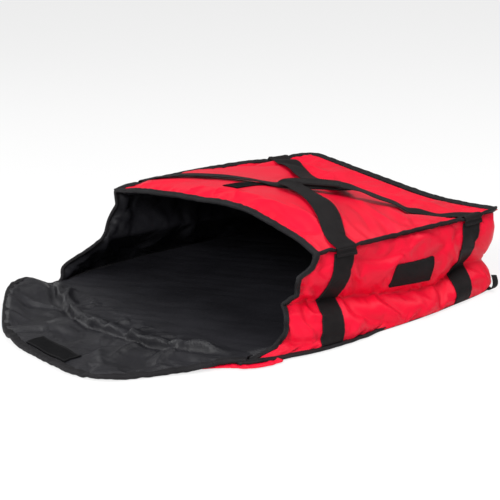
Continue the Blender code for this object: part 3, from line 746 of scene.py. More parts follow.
def settle(skin, held, spare, cap):
    """Cloth cut a little larger than its place finds its own folds, held along its seams."""
    body = bmesh.new()
    verts = [body.verts.new(point) for row in skin.grid for point in row]
    for face in quads(skin.grid):
        body.faces.new([verts[k] for k in face])
    item = finish_mesh("loose_cloth", body, RED)
    pins = item.vertex_groups.new(name="pins")
    columns = len(skin.across)
    for i, v in enumerate(skin.up):
        for j, s in enumerate(skin.across):
            weight = held(s, v, skin.grid[i][j])
            if weight > 0:
                pins.add([i * columns + j], weight, "REPLACE")
    cloth = item.modifiers.new("cloth", "CLOTH")
    cloth.point_cache.frame_start = 1
    cloth.point_cache.frame_end = CLOTH_FRAMES
    for name, value in CLOTH_SETTINGS.items():
        setattr(cloth.settings, name, value)
    cloth.settings.shrink_min = cloth.settings.shrink_max = -spare
    cloth.settings.effector_weights.gravity = 0.0
    cloth.collision_settings.use_collision = False
    scene = bpy.context.scene
    for frame_number in range(1, CLOTH_FRAMES + 1):
        scene.frame_set(frame_number)
    ready = item.evaluated_get(bpy.context.evaluated_depsgraph_get())
    mesh = ready.to_mesh()

    def settled(k, point):
        move = mesh.vertices[k].co - point
        if move.length > cap:
            move *= cap / move.length * (1 + 0.25 * math.tanh(move.length / cap - 1))
        spot = point + move
        spot.z = max(spot.z, LOWEST)
        return spot

    grid = [[settled(i * columns + j, p) for j, p in enumerate(row)] for i, row in enumerate(skin.grid)]
    ready.to_mesh_clear()
    bpy.data.objects.remove(item, do_unlink=True)
    scene.frame_set(1)
    return Skin(skin.across, skin.up, grid, skin.facing)


def wall_hold(t, v, point):
    """1 where the walls are sewn down, less along the straps and at the label, 0 elsewhere."""
    if v < 0.012 or v > 0.988:
        return 1.0
    hold = 1 - smooth((min(t, 3 - t) - 0.012) / 0.022)
    if t < 1 or t > 2:
        for name in STRAP_ENDS:
            away = abs(point.y - strap_place(name, v)) - STRAP_WIDTH / 2
            hold = max(hold, 0.5 * (1 - smooth(away / 0.006)))
    if t > 2:
        away = max(abs(point.y - 0.073) - 0.040, abs(point.z - 0.070) - 0.016)
        hold = max(hold, 0.8 * (1 - smooth(away / 0.010)))
    return hold


def top_hold(a, b, point):
    return 1.0 if b < 0.006 or b > 0.994 or abs(a) > 0.992 else 0.0


def even_grid(grid, reach):
    """The same grid with each point averaged with its neighbours along the rows and columns."""
    rows = [averages(row, reach) for row in grid]
    return list(zip(*[averages(column, reach) for column in zip(*rows)]))


def lining_grid(skin, edges, seed):
    """The inner face of a panel: set in from the outer one, thin at the seams, softly creased."""
    grid = []
    normals = normals_of(even_grid(even_grid(skin.grid, 3), 3))
    for v, points, line in zip(skin.up, skin.grid, normals):
        row = []
        for s, point, normal in zip(skin.across, points, line):
            near = smooth(edges(s, v))
            waves = 0.0022 * noise.noise(Vector((point.x * 14, point.y * 14, point.z * 22 + seed)))
            waves += 0.0012 * noise.noise(Vector((point.x * 45, point.y * 38, point.z * 30 + seed)))
            depth = mix(EDGE * 0.4, WALL, near) + (waves + 0.0018) * near
            spot = point - normal * (skin.facing * depth)
            spot.z = max(spot.z, min(0.0030, point.z - 0.0004))
            row.append(spot)
        grid.append(row)
    return grid


def floor_height(x, y):
    """Height of the lining on the bottom panel, which runs on over the lip to the gathered ridge."""
    waves = 0.0026 * noise.noise(Vector((x * 12, y * 9, 3.0)))
    return WALL + 0.0018 + waves + 0.0013 * rumple(x, y, 15.0, 0.5, 0.070, 0.018)


BOTTOM_ROWS = 90
BOTTOM_COLUMNS = 120


def make_panels(walls, top):
    """The padded walls, top and bottom, each with its shell and its lining."""
    skin = (RED, LINING)
    inner = lining_grid(walls, lambda t, v: min(v / 0.16, (1 - v) / 0.14, t / 0.05, (3 - t) / 0.05), 0.0)
    pieces = [panel_object("bag_walls", walls.grid, inner, skin)]
    inner = lining_grid(top, lambda a, b: min(b / 0.04, (1 - b) / 0.04, (1 - abs(a)) / 0.08), 30.0)
    pieces.append(panel_object("bag_top", top.grid, inner, skin))
    low, high = [], []
    shares = [j / BOTTOM_COLUMNS for j in range(BOTTOM_COLUMNS + 1)]
    for i in range(BOTTOM_ROWS + 1):
        u = i / BOTTOM_ROWS
        left, right = read(BOTTOM_HALF, u, 1), read(BOTTOM_HALF, u, 2)
        y = mix(LIP_Y, REAR_Y + BOTTOM_REAR_BOW, u)
        line = [Vector((mix(-left, right, a), y, 0.0006)) for a in shares]
        low.append(line)
        lifted = []
        for a, point in zip(shares, line):
            near = smooth(min(u / 0.010, (1 - u) / 0.03, (1 - abs(2 * a - 1)) / 0.10))
            lifted.append(point + UP * (LOWEST + floor_height(point.x, point.y) * near))
        high.append(lifted)
    pieces.append(panel_object("bag_bottom", high, low, skin[::-1]))
    return pieces


# Bindings: each tape's width, half its thickness, how many points it has and how wavy it is

MOUTH_TAPE = (0.0080, 0.0028, 340, 1.6)
TOP_TAPE = (0.0108, 0.0018, 420, 2.2)
BOTTOM_TAPE = (0.0095, 0.0018, 420, 1.0)
EDGE_STEPS = 60
SEAM_STEPS = 240


def bag_tape(name, stops, width, half, count, wave, size=None):
    """Evens out a binding's path, makes the folded tape, and sews it near its inner edge."""
    path, inward, outward = zip(*stops)
    reach = lengths(path)
    stations = [r / reach[-1] for r in reach]
    path = resample(path, count)

    def even_out(vectors):
        return [vector.normalized() for vector in averages(vectors, 2)]

    def spread(vectors):
        vectors = even_out(vectors)
        out = []
        for i in range(count + 1):
            j, w = segment(stations, i / count)
            out.append(vectors[j].lerp(vectors[j + 1], clamp(w)).normalized())
        return even_out(out)

    stops = []
    for i, (point, a, b) in enumerate(zip(path, spread(inward), spread(outward))):
        step = heading(path, i)
        a = (a - step * a.dot(step)).normalized()
        side = step.cross(a)
        stops.append((point, a, side.normalized() * (1 if side.dot(b) > 0 else -1)))
    tape = folded_tape(name, stops, width, half, wave, size)
    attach(tape, "bag")
    for sign in (1, -1):
        seam = []
        for p, a, b in stops:
            part = size(p) if size else 1.0
            seam.append(p + (a * width * 0.78 + b * half * 1.22 * sign) * part)
        sew("bag", seam, [b * sign for p, a, b in stops])
    return tape


def make_mouth_binding(walls, top):
    """The tape folded over the mouth's edge: up the left wall, along the top, down the right wall."""
    stops = []

    def stop(skin, edge, inside, near):
        point = skin.at(*edge)
        stops.append((point, (skin.at(*inside) - point).normalized(), skin.normal(*near)))

    for step in range(EDGE_STEPS + 1):
        v = step / EDGE_STEPS
        stop(walls, (0, v), (0.03, v), (0.01, v))
    for step in range(1, 2 * EDGE_STEPS):
        a = -1 + step / EDGE_STEPS
        stop(top, (a, 0), (a, 0.03), (a, 0.01))
    for step in range(EDGE_STEPS + 1):
        v = 1 - step / EDGE_STEPS
        stop(walls, (3, v), (2.97, v), (2.99, v))
    return bag_tape("mouth_edge_tape", stops, *MOUTH_TAPE,
                    size=lambda p: mix(0.86, 1.0, smooth((p.z - 0.11) / 0.03)))


def seam_stops(walls, v, inside):
    """Along a seam of the walls: t, the point, and the level direction that faces out."""
    for step in range(SEAM_STEPS + 1):
        t = 3 * step / SEAM_STEPS
        out = walls.normal(t, inside)
        out.z = 0
        yield t, walls.at(t, v), out.normalized()


def make_top_seam(walls):
    """The bound seam that stands along the top panel's left, rear and right edges."""
    stops = []
    for t, edge, out in seam_stops(walls, 1, 0.93):
        under = 0.0
        if abs(edge.x) >= 0.2:
            aways = [abs(edge.y - strap_place(name, 1)) for name in STRAP_ENDS]
            under = max(1 - smooth((away - 0.017) / 0.012) for away in aways)
        rise = mix(0.18, mix(0.72, 0.25, under), smooth((edge.x - 0.235) / 0.015))
        lean = (out * 0.80 + UP * rise).normalized()
        reach = mix(0.0084, 0.0040, under) * (0.25 + 0.75 * smooth(min(t, 3 - t) / 0.06))
        stops.append((edge + lean * reach, -lean, UP.lerp(-out, 0.45).normalized()))
    return bag_tape("top_seam_tape", stops, *TOP_TAPE)


def make_bottom_seam(walls):
    stops = []
    for t, edge, out in seam_stops(walls, 0, 0.05):
        front = smooth((0.01 - edge.y) / 0.06) if edge.x > 0 else 0.3
        corner = smooth((edge.x - 0.1) / 0.05)
        lift = 0.0045 * smooth((-0.195 - edge.y) / 0.04) * corner
        swing = mix(-0.0030, 0.0065, front) + 0.0115 * smooth((-0.190 - edge.y) / 0.06) * corner
        stops.append((Vector((edge.x, edge.y, 0.0032 + lift)) + out * swing, -out, UP.copy()))
    return bag_tape("bottom_seam_tape", stops, *BOTTOM_TAPE)


# The floor roll's way round the mouth's right corner, and the tape's loose end
FLOOR_ROLL = (
    (0.278, -0.190), (0.283, -0.206), (0.284, -0.222), (0.280, -0.240), (0.271, -0.256),
    (0.256, -0.268), (0.241, -0.286), (0.231, -0.302), (0.220, -0.318),
)
TAPE_TAIL = (
    (0.244, 0.250, 0.0030), (0.256, 0.250, 0.0018), (0.266, 0.251, 0.0030),
    (0.273, 0.251, 0.0100), (0.2745, 0.250, 0.0190), (0.272, 0.249, 0.0285),
)
ROLL_STEPS = 90


def make_floor_roll():
    """The bottom's red shell, which rolls out under the bindings at the mouth's right corner."""
    path = curve_through([Vector((*place, 0.005)) for place in FLOOR_ROLL], ROLL_STEPS)
    sections = []
    for i, point in enumerate(path):
        side = heading(path, i).cross(UP).normalized()
        size = smooth(min(i, ROLL_STEPS - i) / 12)
        size *= 1 + 0.25 * noise.noise(Vector((i * 0.22, 2.0, 5.0)))
        ring = []
        for k in range(16):
            angle = math.pi * k / 8
            spot = point + side * (0.0090 * size * math.cos(angle))
            spot.z = max(0.0004, 0.0028 * size * (1 + math.sin(angle)))
            ring.append(spot)
        sections.append(ring)
    roll = tube_object("floor_roll", sections, RED)
    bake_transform(roll)


def make_tape_tail():
    """The loose end of the bottom binding's tape, which curls up at the rear right corner."""
    rows = []
    for i, point in enumerate(curve_through([Vector(place) for place in TAPE_TAIL], 30)):
        side = Vector((0.35, 0.90, 0.0)).normalized() * 0.0048
        side += Vector((0, 0, 0.0012 * math.sin(i / 8)))
        rows.append([point + side * (2 * share - 1) for share in WEB_SHARES])
    tail = slab_object("tape_tail", rows, 0.0013, BINDING)
    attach(tail, "bag")
    return tail


# Webbing

# Where each pair of side straps stands along the wall: y at the floor, y at the top
STRAP_ENDS = {"front": (-0.114, -0.060), "rear": (0.168, 0.212)}


def strap_place(name, v):
    """Where the middle of a side strap lies along the wall at a share of its height, in metres."""
    return mix(*STRAP_ENDS[name], v)


def wall_share(walls, sign, y, v):
    """The wall's share at which it passes y, at a share of its height."""
    low, high = 0.0, 1.0
    for step in range(18):
        middle = (low + high) / 2
        if walls.at(middle if sign < 0 else 3 - middle, v).y < y:
            low = middle
        else:
            high = middle
    return low if sign < 0 else 3 - low


def make_side_strap(walls, name, side, sign):
    rows = []
    for i in range(47):
        v = 0.035 + 0.925 * i / 46
        ys = [strap_place(name, v) + STRAP_WIDTH * (share - 0.5) for share in WEB_SHARES]
        rows.append([walls.at(wall_share(walls, sign, y, v), v, 0.0012) for y in ys])
    strap = slab_object(f"{name}_{side}_side_webbing", rows, STRAP_THICKNESS, WEBBING)
    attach(strap, "bag")
    lines = normals_of(rows)
    for column in (2, -3):
        facing = sign if lines[20][column].x > 0 else -sign
        normals = [line[column] * facing for line in lines]
        sew("bag", [row[column] + normal * 0.0009 for row, normal in zip(rows, normals)], normals)
    return strap


def tree_of(grid):
    """A search tree over a grid's faces, for finding its height at a place."""
    return BVHTree.FromPolygons([point for row in grid for point in row], quads(grid))


def top_height(tree, x, y, missing=0.15):
    hit = tree.ray_cast(Vector((x, y, 0.5)), Vector((0, 0, -1)))
    return hit[0].z if hit[0] else missing


TAB_STEPS = 26
TAB_DROPS = (0.030, 0.055, 0.082)


def tab_rows(walls, tree, name, sign):
    """Rows of points across a handle's end: over the top panel, the bound edge, and down the strap."""
    columns = []
    for share in WEB_SHARES:
        y = strap_place(name, 1) + STRAP_WIDTH * (share - 0.5)
        edge = walls.at(wall_share(walls, sign, y, 1), 1)
        points = []
        for way in (0.0, 0.4, 0.8):
            x = mix(sign * HANDLE_INNER, edge.x - sign * 0.006, way)
            points.append(Vector((x, y, top_height(tree, x, y, edge.z) + 0.0030)))
        points.append(edge + Vector((sign * 0.0020, 0, 0.0056)))
        points.append(edge + Vector((sign * 0.0070, 0, 0.0024)))
        for drop in TAB_DROPS:
            at = wall_share(walls, sign, y, 1 - drop)
            over = 0.0030 + 0.0020 * (1 - drop / TAB_DROPS[-1])
            points.append(walls.at(at, 1 - drop, over))
        columns.append(curve_through(points, TAB_STEPS))
    return [[column[i] for column in columns] for i in range(TAB_STEPS + 1)]


# A handle's way over the panel: share of the way in from its ends, share of the way to its rear end
RIGHT_HANDLE_SHARES = (
    (0.0, 0.0), (0.17, 0.09), (0.33, 0.155), (0.50, 0.203), (0.65, 0.222), (0.75, 0.234),
    (0.80, 0.268), (0.79, 0.318), (0.745, 0.385), (0.683, 0.4485), (0.617, 0.529), (0.54, 0.605),
    (0.44, 0.685), (0.34, 0.765), (0.19, 0.870), (0.0, 1.0),
)
LEFT_HANDLE_SHARES = (
    (0.0, 0.0), (0.21, 0.074), (0.46, 0.160), (0.71, 0.208), (0.93, 0.222), (1.10, 0.237),
    (1.195, 0.283), (1.245, 0.350), (1.295, 0.425), (1.345, 0.500), (1.355, 0.565), (1.29, 0.625),
    (1.16, 0.670), (0.96, 0.718), (0.68, 0.79), (0.40, 0.88), (0.17, 0.95), (0.0, 1.0),
)
HANDLE_STEPS = 150
# How far each handle stands off the panel: share of its length, metres
HANDLE_RISE = {
    "left": ((0.0, 0.0), (0.30, 0.001), (0.39, 0.0025), (0.44, 0.004), (0.50, 0.008), (0.55, 0.008),
             (0.60, 0.006), (0.68, 0.0035), (0.80, 0.0015), (0.94, 0.0), (1.0, 0.0)),
    "right": ((0.0, 0.0), (0.28, 0.003), (0.36, 0.006), (0.42, 0.0085), (0.48, 0.010), (0.54, 0.0125),
              (0.60, 0.0145), (0.66, 0.0125), (0.72, 0.007), (0.80, 0.002), (0.94, 0.0), (1.0, 0.0)),
}
# Rise of one edge over the other, on the way to the grip and on the way back
HANDLE_TURN = {"left": (0.05, 0.05), "right": (0.0, 0.0)}
GRIP_AT = {"left": (0.390, 0.510), "right": (0.415, 0.600)}


def make_handle(walls, tree, side, sign, shares):
    """A handle's webbing: sewn down over both edges, and doubled along its grip."""
    start, end = GRIP_AT[side]
    body = f"{side}_handle_loop"
    front, rear = strap_place("front", 1), strap_place("rear", 1)
    line = [Vector((sign * HANDLE_INNER * (1 - a), mix(front, rear, b), 0.0)) for a, b in shares]
    line = curve_through(line, HANDLE_STEPS)
    rows, fold = [], []
    for i, point in enumerate(line):
        t = i / HANDLE_STEPS
        step = heading(line, i)
        if i in (0, HANDLE_STEPS):
            step = Vector((-sign if i == 0 else sign, 0, 0))
        across = Vector((-step.y, step.x, 0))
        near = smooth((t - start) / 0.012) * smooth((end - t) / 0.012)
        turned = HANDLE_TURN[side][0] * smooth((t - 0.03) / 0.10) * smooth((start - t) / 0.08)
        turned -= HANDLE_TURN[side][1] * smooth((0.95 - t) / 0.10) * smooth((t - end) / 0.08)
        flat = smooth((t - start + 0.05) / 0.05) * smooth((end + 0.07 - t) / 0.05)
        middle_height = top_height(tree, point.x, point.y)
        rise = 0.0030 + read(HANDLE_RISE[side], t)
        row = []
        for share in WEB_SHARES:
            place = point + across * (mix(STRAP_WIDTH, 0.0365, near) * (share - 0.5))
            lift = rise + (abs(turned) * 0.020 - turned * STRAP_WIDTH * (share - 0.5))
            base = mix(top_height(tree, place.x, place.y), middle_height, flat)
            row.append(Vector((place.x, place.y, base + lift)))
        rows.append(row)
        fold.append(near)
    columns = range(len(WEB_SHARES))
    for turn in range(4):
        for i in range(1, HANDLE_STEPS):
            for j in columns:
                middle = (rows[i - 1][j].z + rows[i + 1][j].z) / 2
                rows[i][j].z = mix(rows[i][j].z, middle, 0.5)
    ends = []
    for name in STRAP_ENDS:
        turn = -1 if (name == "front") == (sign > 0) else 1
        ends.append([row[::turn] for row in tab_rows(walls, tree, name, sign)])
    rows = ends[0][:0:-1] + rows + ends[1][1:]
    fold = [0.0] * TAB_STEPS + fold + [0.0] * TAB_STEPS
    for turn in range(6):
        for middle in (TAB_STEPS, TAB_STEPS + HANDLE_STEPS):
            for i in range(middle - 5, middle + 6):
                for j in columns:
                    between = (rows[i - 1][j] + rows[i + 1][j]) / 2
                    rows[i][j] = rows[i][j].lerp(between, 0.5)
    normals = normals_of(rows)
    last_row = len(rows) - 1
    sections = []
    for i, near in enumerate(fold):
        thickness = mix(STRAP_THICKNESS, 0.0038, near)
        thickness += 0.0010 * smooth((5 - min(i, last_row - i)) / 2)
        sections.append(band_section(rows[i], normals[i], WEB_SHARES, thickness, mix(0.035, 0.06, near)))
    handle = tube_object(f"{side}_handle_webbing", sections, WEBBING)
    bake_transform(handle)
    facing = 1 if normals[TAB_STEPS + 5][7].z > 0 else -1

    def sew_along(owner, places, over, **stitch):
        out = [normals[i][j] * facing for i, j in places]
        sew(owner, [rows[i][j] + n * over for (i, j), n in zip(places, out)], out, **stitch)

    for i in (2, 7, last_row - 2, last_row - 7):
        over = 0.0013 if min(i, last_row - i) < 5 else 0.0010
        sew_along("bag", [(i, j) for j in columns[2:-2]], over)
    for t in (start + 0.008, start + 0.036, end - 0.036, end - 0.008):
        i = TAB_STEPS + round(t * HANDLE_STEPS)
        sew_along(body, [(i, j) for j in columns[3:-3]], 0.0022, pitch=0.0024, size=0.0018)
    first, last = [TAB_STEPS + round(t * HANDLE_STEPS) for t in (start, end)]
    for j in (3, -4):
        sew_along(body, [(i, j) for i in range(first, last + 1)], 0.0022)
    return handle


# Flap

# The flap's edges: distance in front of the lip, how far to the left, how far to the right
FLAP_HALF = (
    (0.000, 0.247, 0.271), (0.025, 0.249, 0.2545), (0.060, 0.250, 0.242), (0.080, 0.246, 0.232),
    (0.110, 0.226, 0.218), (0.140, 0.186, 0.204), (0.165, 0.146, 0.190), (0.182, 0.114, 0.174),
    (0.193, 0.086, 0.156), (0.201, 0.050, 0.134), (0.206, 0.022, 0.112),
)
FLAP_REACH = 0.206
FLAP_SPLIT = 0.040
FLAP_COLUMNS = 200
NEAR_ROWS = 24
FAR_ROWS = 76
LIP_OVERLAP = 0.020
# The gathered ridge where the bag's floor meets the flap: x, distance in front of the lip
RIDGE = (
    (-0.246, 0.008), (-0.225, 0.022), (-0.197, 0.036), (-0.150, 0.055), (-0.098, 0.068),
    (-0.036, 0.078), (0.034, 0.070), (0.113, 0.060), (0.169, 0.040), (0.219, 0.017), (0.247, 0.002),
)
# Folds on the flap: x and distance in front of the lip at both ends, width, height
FLAP_FOLDS = (
    (-0.190, 0.100, -0.120, 0.072, 0.006, 0.0050), (-0.200, 0.135, -0.100, 0.085, 0.009, 0.0036),
    (-0.150, 0.150, -0.060, 0.095, 0.007, 0.0030), (-0.190, 0.160, -0.080, 0.120, 0.006, -0.0028),
    (-0.100, 0.170, -0.020, 0.100, 0.010, 0.0026), (0.060, 0.085, 0.080, 0.160, 0.009, -0.0024),
    (0.100, 0.075, 0.130, 0.140, 0.007, 0.0030), (0.140, 0.060, 0.160, 0.120, 0.006, -0.0026),
    (0.030, 0.090, 0.140, 0.160, 0.008, 0.0024), (0.165, 0.050, 0.190, 0.100, 0.006, 0.0026),
    (-0.180, 0.015, -0.130, 0.055, 0.006, 0.0034), (-0.090, 0.020, -0.080, 0.062, 0.007, 0.0030),
    (0.010, 0.030, 0.020, 0.070, 0.006, 0.0030), (0.060, 0.030, 0.075, 0.064, 0.005, 0.0034),
    (0.120, 0.020, 0.105, 0.056, 0.006, 0.0028),
)
# Each part of the flap: the bodies on both sides of its fold, and how far from the lip that fold runs; the
# pieces are left as built, unbent
LIP_BEND = ("bag", "flap_root", 0.000, 0.018)
FOLD_BEND = ("flap_root", "flap_end", 0.068, 0.094)


def bend(piece, first, second, near, far):
    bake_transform(piece)
    return piece


def flap_top_height(x, reach):
    """Height of the flap's upper face at a distance in front of the lip."""
    ridge = read(RIDGE, x) + 0.0035 * noise.noise(Vector((x * 22, 3.0, 1.0)))
    ahead = reach - ridge
    puckers = 0.5 + 0.5 * noise.noise(Vector((x * 48 + reach * 14, reach * 14, 4.0)))
    puckers = smooth(puckers * 1.4 - 0.2)
    roll = math.exp(-(ahead / (0.0038 if ahead > 0 else 0.017)) ** 2)
    fade = smooth((0.250 - abs(x)) / 0.05)
    height = 0.0018 + floor_height(x, LIP_Y - reach)
    height += (0.0060 + 0.0085 * puckers) * roll * fade
    height -= 0.0040 * math.exp(-((ahead - 0.010) / 0.007) ** 2) * fade
    half = read(FLAP_HALF, reach, 1 if x < 0 else 2)
    left = read(FLAP_HALF, reach)
    rise = smooth((-x - left + 0.085) / 0.080) * smooth((reach - 0.020) / 0.045)
    height += 0.022 * rise * smooth((0.185 - reach) / 0.09)
    height += 0.0015 * smooth((x - half + 0.05) / 0.05) * smooth((0.11 - reach) / 0.06)
    height -= 0.0032 * smooth((ahead - 0.02) / 0.05) * smooth(reach / 0.02)
    edge = min((half - abs(x)) / 0.02, (FLAP_REACH - reach) / 0.02)
    hold = smooth(edge) * smooth((reach + 0.002) / 0.026)
    height += 1.3 * fold_field(x, reach, FLAP_FOLDS) * hold
    height += (0.0024 * rumple(x, reach, 8.0, 0.7, 0.090, 0.028)
               + 0.0014 * rumple(x, reach, 12.0, -0.5, 0.050, 0.014)) * hold
    return max(height - 0.0035 * (1 - smooth(edge * 0.8)), 0.0045)


def make_flap_skin():
    """The lining's face on the flap and its ridge, as cloth settles between its bindings."""
    shares = [j / FLAP_COLUMNS for j in range(FLAP_COLUMNS + 1)]
    near = [mix(-LIP_OVERLAP, FLAP_SPLIT, i / NEAR_ROWS) for i in range(NEAR_ROWS)]
    reaches = near + [mix(FLAP_SPLIT, FLAP_REACH, i / FAR_ROWS) for i in range(FAR_ROWS + 1)]
    grid = []
    for reach in reaches:
        left = read(FLAP_HALF, reach, 1)
        right = read(FLAP_HALF, reach, 2) - 0.012 * smooth(-reach / 0.012)
        row = []
        for share in shares:
            x = mix(-left, right, share)
            z = flap_top_height(x, reach) + mix(-0.0008, 0.0002, smooth((reach + LIP_OVERLAP) / 0.010))
            row.append(Vector((x, LIP_Y - reach, z)))
        grid.append(row)
    skin = settle(Skin(shares, reaches, grid, 1), flap_hold, 0.022, 0.005)
    for row in skin.grid:
        for point in row:
            point.z = max(point.z, 0.0042)
    return skin


def flap_hold(share, reach, point):
    """1 at the flap's bindings and at the lip, less under the hook tape, 0 elsewhere."""
    if reach > FLAP_REACH - 0.008 or min(share, 1 - share) < 0.016:
        return 1.0
    if reach < 0.025:
        return 1 - smooth((reach - 0.006) / 0.019)
    under = smooth((reach - 0.150) / 0.012) * smooth((0.102 - abs(point.x - 0.038)) / 0.04)
    return 0.8 * under


def make_flap(skin):
    """The flap's padded panel, as the part that turns at the lip and the part that folds over."""
    pieces = []
    for name, rows, joint in (
        ("flap_near", range(0, NEAR_ROWS + 1), LIP_BEND),
        ("flap_far", range(NEAR_ROWS, len(skin.grid)), FOLD_BEND),
    ):
        upper = [skin.grid[i] for i in rows]
        lower = []
        for i, row in zip(rows, upper):
            under = []
            for share, point in zip(skin.across, row):
                wide = (row[-1] - row[0]).length * min(share, 1 - share)
                edge = min(wide, FLAP_REACH - skin.up[i])
                thick = mix(0.0016, 0.0085, smooth((edge - 0.010) / 0.016))
                under.append(Vector((point.x, point.y, max(point.z - thick, 0.0006))))
            lower.append(under)
        piece = panel_object(name, upper, lower, (LINING, RED))
        pieces.append(bend(piece, *joint))
    return pieces


def make_flap_tape(tree):
    """The tape round the flap: two short runs on the root, and one round the free end."""
    reaches = [FLAP_REACH * i / 60 for i in range(61)]
    line = [(-read(FLAP_HALF, r, 1), r) for r in reaches]
    line += [(read(FLAP_HALF, r, 2), r) for r in reaches[::-1]]
    path = resample([Vector((x, LIP_Y - r, 0)) for x, r in line], 300)
    middle = Vector((0.02, LIP_Y - 0.06, 0))
    for point in path:
        inside = middle.lerp(Vector((point.x, point.y, 0)), 0.99)
        point.z = top_height(tree, inside.x, inside.y, 0.006) - 0.0010
    stops = []
    for i, point in enumerate(path):
        side = UP.cross(heading(path, i)).normalized()
        if side.dot(Vector((0, middle.y, 0)) - point) < 0:
            side = -side
        stops.append((point, side, UP))
    cut = [i for i, point in enumerate(path) if LIP_Y - point.y >= FLAP_SPLIT]
    first, last = cut[0], cut[-1]
    pieces = []
    for name, low, high, joint in (
        ("left", 0, first, LIP_BEND), ("right", last, 300, LIP_BEND), ("end", first, last, FOLD_BEND),
    ):
        tape = folded_tape(f"flap_tape_{name}", stops[low:high + 1], 0.0112, 0.0026, 2.4)
        pieces.append(bend(tape, *joint))
    keep = [stop for stop in stops[first:last + 1] if LIP_Y - stop[0].y > 0.100]
    sew("flap_end", [p + side * 0.0075 + UP * 0.0028 for p, side, up in keep], [UP] * len(keep))
    return pieces


# Fasteners and label


def make_strip(name, body, corners, counts, height, thickness, over, material):
    """A fastener strip: a thin plate that follows the cloth under it, sewn round its border."""
    (x0, y0), (x1, y1) = corners
    columns, lines = counts
    shares = [j / columns for j in range(columns + 1)]
    rows = []
    for i in range(lines + 1):
        y = mix(y0, y1, i / lines)
        rows.append([Vector((x, y, height(x, y))) for x in [mix(x0, x1, share) for share in shares]])
    strip = slab_object(name, rows, thickness, material, shares)
    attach(strip, body)
    border = rows[1][1:-1] + [row[-2] for row in rows[1:-1]]
    border += rows[-2][-2:0:-1] + [row[1] for row in rows[-2:0:-1]]
    border.append(border[0])
    sew(body, [point + UP * over for point in border], [UP] * len(border), pitch=0.0030)
    return strip


def make_hook_strip(tree):
    corners = [(corner.x + 0.002, corner.y - 0.007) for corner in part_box("hook_strip")]

    def height(x, y):
        places = ((x, y), (x + 0.006, y), (x - 0.006, y), (x, y + 0.005))
        near = [top_height(tree, *place) for place in places]
        return max(sum(near) / len(near), near[0]) + 0.0010

    return make_strip("hook_tape_strip", "flap_end", corners, (44, 14), height, 0.0018, 0.0009, HOOK)


def make_loop_strip(tree):
    low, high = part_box("loop_strip")
    return make_strip("loop_tape_strip", "bag", ((-0.0245, low.y), (0.0165, high.y)), (16, 56),
                      lambda x, y: top_height(tree, x, y) + 0.0010, 0.0020, 0.0011, LOOP)


# The label's corners on the right wall: y and z, from the lower front one round
LABEL_CORNERS = ((0.0255, 0.0549), (0.1122, 0.0481), (0.1170, 0.0882), (0.0345, 0.0912))


def make_label(walls):
    """A bare sewn patch with a raised rim, a slanted front edge and rounded corners."""

    def wall_x(y, z):
        v = z / 0.133
        return walls.at(wall_share(walls, 1, y, v), v).x

    def within(values, a, b):
        return mix(mix(values[0], values[1], a), mix(values[3], values[2], a), b)

    flat = [wall_x(y, z) for y, z in LABEL_CORNERS]
    sections = []
    columns, lines = 48, 24
    for i in range(lines + 1):
        row = []
        for j in range(columns + 1):
            b = i / lines
            pull = 0.030 * max(0.0, 1 - min(b, 1 - b) / 0.10) ** 2
            a = 0.5 + (j / columns - 0.5) * (1 - 2 * pull)
            y, z = [within(values, a, b) for values in zip(*LABEL_CORNERS)]
            cloth = wall_x(y, z) + 0.0012
            away = within(flat, a, b) + 0.0010 - cloth
            x = cloth + (away + math.sqrt(away * away + 0.0015**2)) / 2
            edge = min(min(a, 1 - a) * 0.090, min(b, 1 - b) * 0.040)
            rim = smooth(edge / 0.0010) * (1 - 0.55 * smooth((edge - 0.0022) / 0.0012))
            row.append(Vector((x + 0.0014 * rim, y, z)))
        sections.append([*row, *[p - Vector((0.0035, 0, 0)) for p in row[::-1]]])
    label = tube_object("bare_patch", sections, LABEL)
    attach(label, "bag")
    return label


# Camera, light and floor


def put(name, data):
    item = bpy.data.objects.new(name, data)
    bpy.context.scene.collection.objects.link(item)
    return item


def make_camera():
    data = bpy.data.cameras.new("camera")
    data.lens = CAMERA_LENS_MM
    data.sensor_width = CAMERA_SENSOR_MM
    data.sensor_fit = "HORIZONTAL"
    camera = put("camera", data)
    flat = math.cos(CAMERA_ELEVATION)
    side, front = -math.sin(CAMERA_AZIMUTH) * flat, math.cos(CAMERA_AZIMUTH) * flat
    ahead = Vector((side, front, -math.sin(CAMERA_ELEVATION)))
    level = ahead.cross(UP).normalized()
    right = math.cos(CAMERA_ROLL) * level + math.sin(CAMERA_ROLL) * level.cross(ahead)
    turn = Matrix((right, right.cross(ahead), -ahead)).transposed().to_4x4()
    camera.matrix_world = Matrix.Translation(CAMERA_AT) @ turn
    bpy.context.scene.camera = camera


# Lights: name, place, size and power; all face the bag
LIGHTS = (
    ("key", (1.1, -2.2, 1.7), 1.2, 62.0),
    ("fill", (-1.9, -1.2, 1.3), 1.4, 20.0),
    ("top", (0.6, 0.9, 2.3), 1.4, 34.0),
)
LIGHTS_FACE = Vector((0.0, 0.0, 0.1))


def seen_ray(tree):
    """1 where a surface is seen by the camera itself, 0 where it lights other surfaces."""
    return add_node(tree, "LightPath", {})["Is Camera Ray"]


def make_studio():
    for name, place, size, power in LIGHTS:
        data = bpy.data.lights.new(name, "AREA")
        data.shape = "DISK"
        data.size = size
        data.energy = power
        light = put(name, data)
        light.location = place
        light.rotation_euler = (LIGHTS_FACE - Vector(place)).to_track_quat("-Z", "Y").to_euler()
    world = bpy.data.worlds.new("studio")
    bpy.context.scene.world = world
    world.use_nodes = True
    tree = world.node_tree
    strength = add_node(tree, "MapRange", {"To Min": 0.34, "To Max": 1.0, "Value": seen_ray(tree)})
    look = {"Color": (1.0, 1.0, 1.0, 1.0), "Strength": strength["Result"]}
    feed(tree, tree.nodes["Background"], look)
    bpy.context.scene.view_settings.view_transform = "Standard"


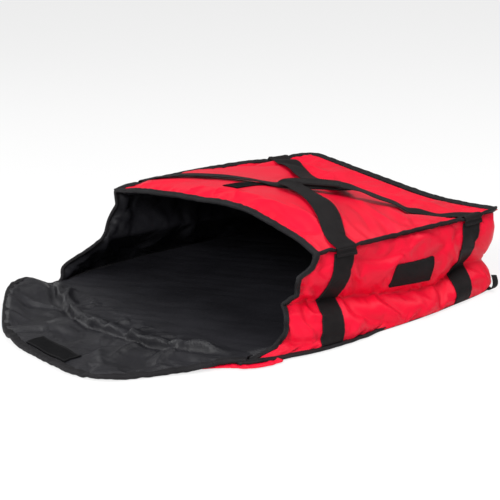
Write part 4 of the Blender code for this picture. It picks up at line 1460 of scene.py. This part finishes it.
def make_floor():
    """A pale floor that looks white to the camera and still takes the bag's shadow."""
    mesh = bpy.data.meshes.new("floor")
    mesh.from_pydata([(-20, -20, 0), (20, -20, 0), (20, 20, 0), (-20, 20, 0)], [], [(0, 1, 2, 3)])
    floor = put("floor", mesh)
    floor.location.z = -0.0005
    material, tree, shader = new_material("floor", (0.92, 0.92, 0.92), 0.9)
    glow = add_node(tree, "Emission", {})[0]
    share = maths(tree, "MULTIPLY", seen_ray(tree), 0.75)
    blend = add_node(tree, "MixShader", {0: share, 1: shader.outputs[0], 2: glow})[0]
    feed(tree, tree.nodes["Material Output"], {"Surface": blend})
    mesh.materials.append(material)


def replace_layers(panels, names):
    for panel, name in zip(panels, names):
        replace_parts(panel, *[f"{name}_{layer}" for layer in ("shell", "batting", "lining")])


def main():
    make_camera()
    make_studio()
    make_floor()
    walls, top = make_skins()
    panels = make_panels(walls, top)
    for piece in panels:
        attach(piece, "bag")
    tree = tree_of(top.grid)
    replace_layers(panels, ("wall", "top", "bottom"))
    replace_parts(make_mouth_binding(walls, top), "mouth_binding")
    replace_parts(make_top_seam(walls), "top_seam_binding")
    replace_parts(make_bottom_seam(walls), "bottom_seam_binding")
    make_floor_roll()
    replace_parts(make_tape_tail(), "binding_tail")
    for side, sign, shares in (("left", -1, LEFT_HANDLE_SHARES), ("right", 1, RIGHT_HANDLE_SHARES)):
        for name in STRAP_ENDS:
            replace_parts(make_side_strap(walls, name, side, sign), f"{name}_{side}_strap")
        handle = make_handle(walls, tree, side, sign, shares)
        tabs = [f"{name}_{side}_handle_tab" for name in STRAP_ENDS]
        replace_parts(handle, f"{side}_handle", f"{side}_grip_wrap", *tabs)
    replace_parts(make_loop_strip(tree), "loop_strip")
    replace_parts(make_label(walls), "label_patch")
    flap_skin = make_flap_skin()
    replace_layers(make_flap(flap_skin), ("flap_root", "flap_end"))
    flap_tree = tree_of(flap_skin.grid)
    for tape, name in zip(make_flap_tape(flap_tree), ("left", "right", "end")):
        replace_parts(tape, f"flap_{name}_binding")
    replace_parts(make_hook_strip(flap_tree), "hook_strip")
    make_threads()


main()
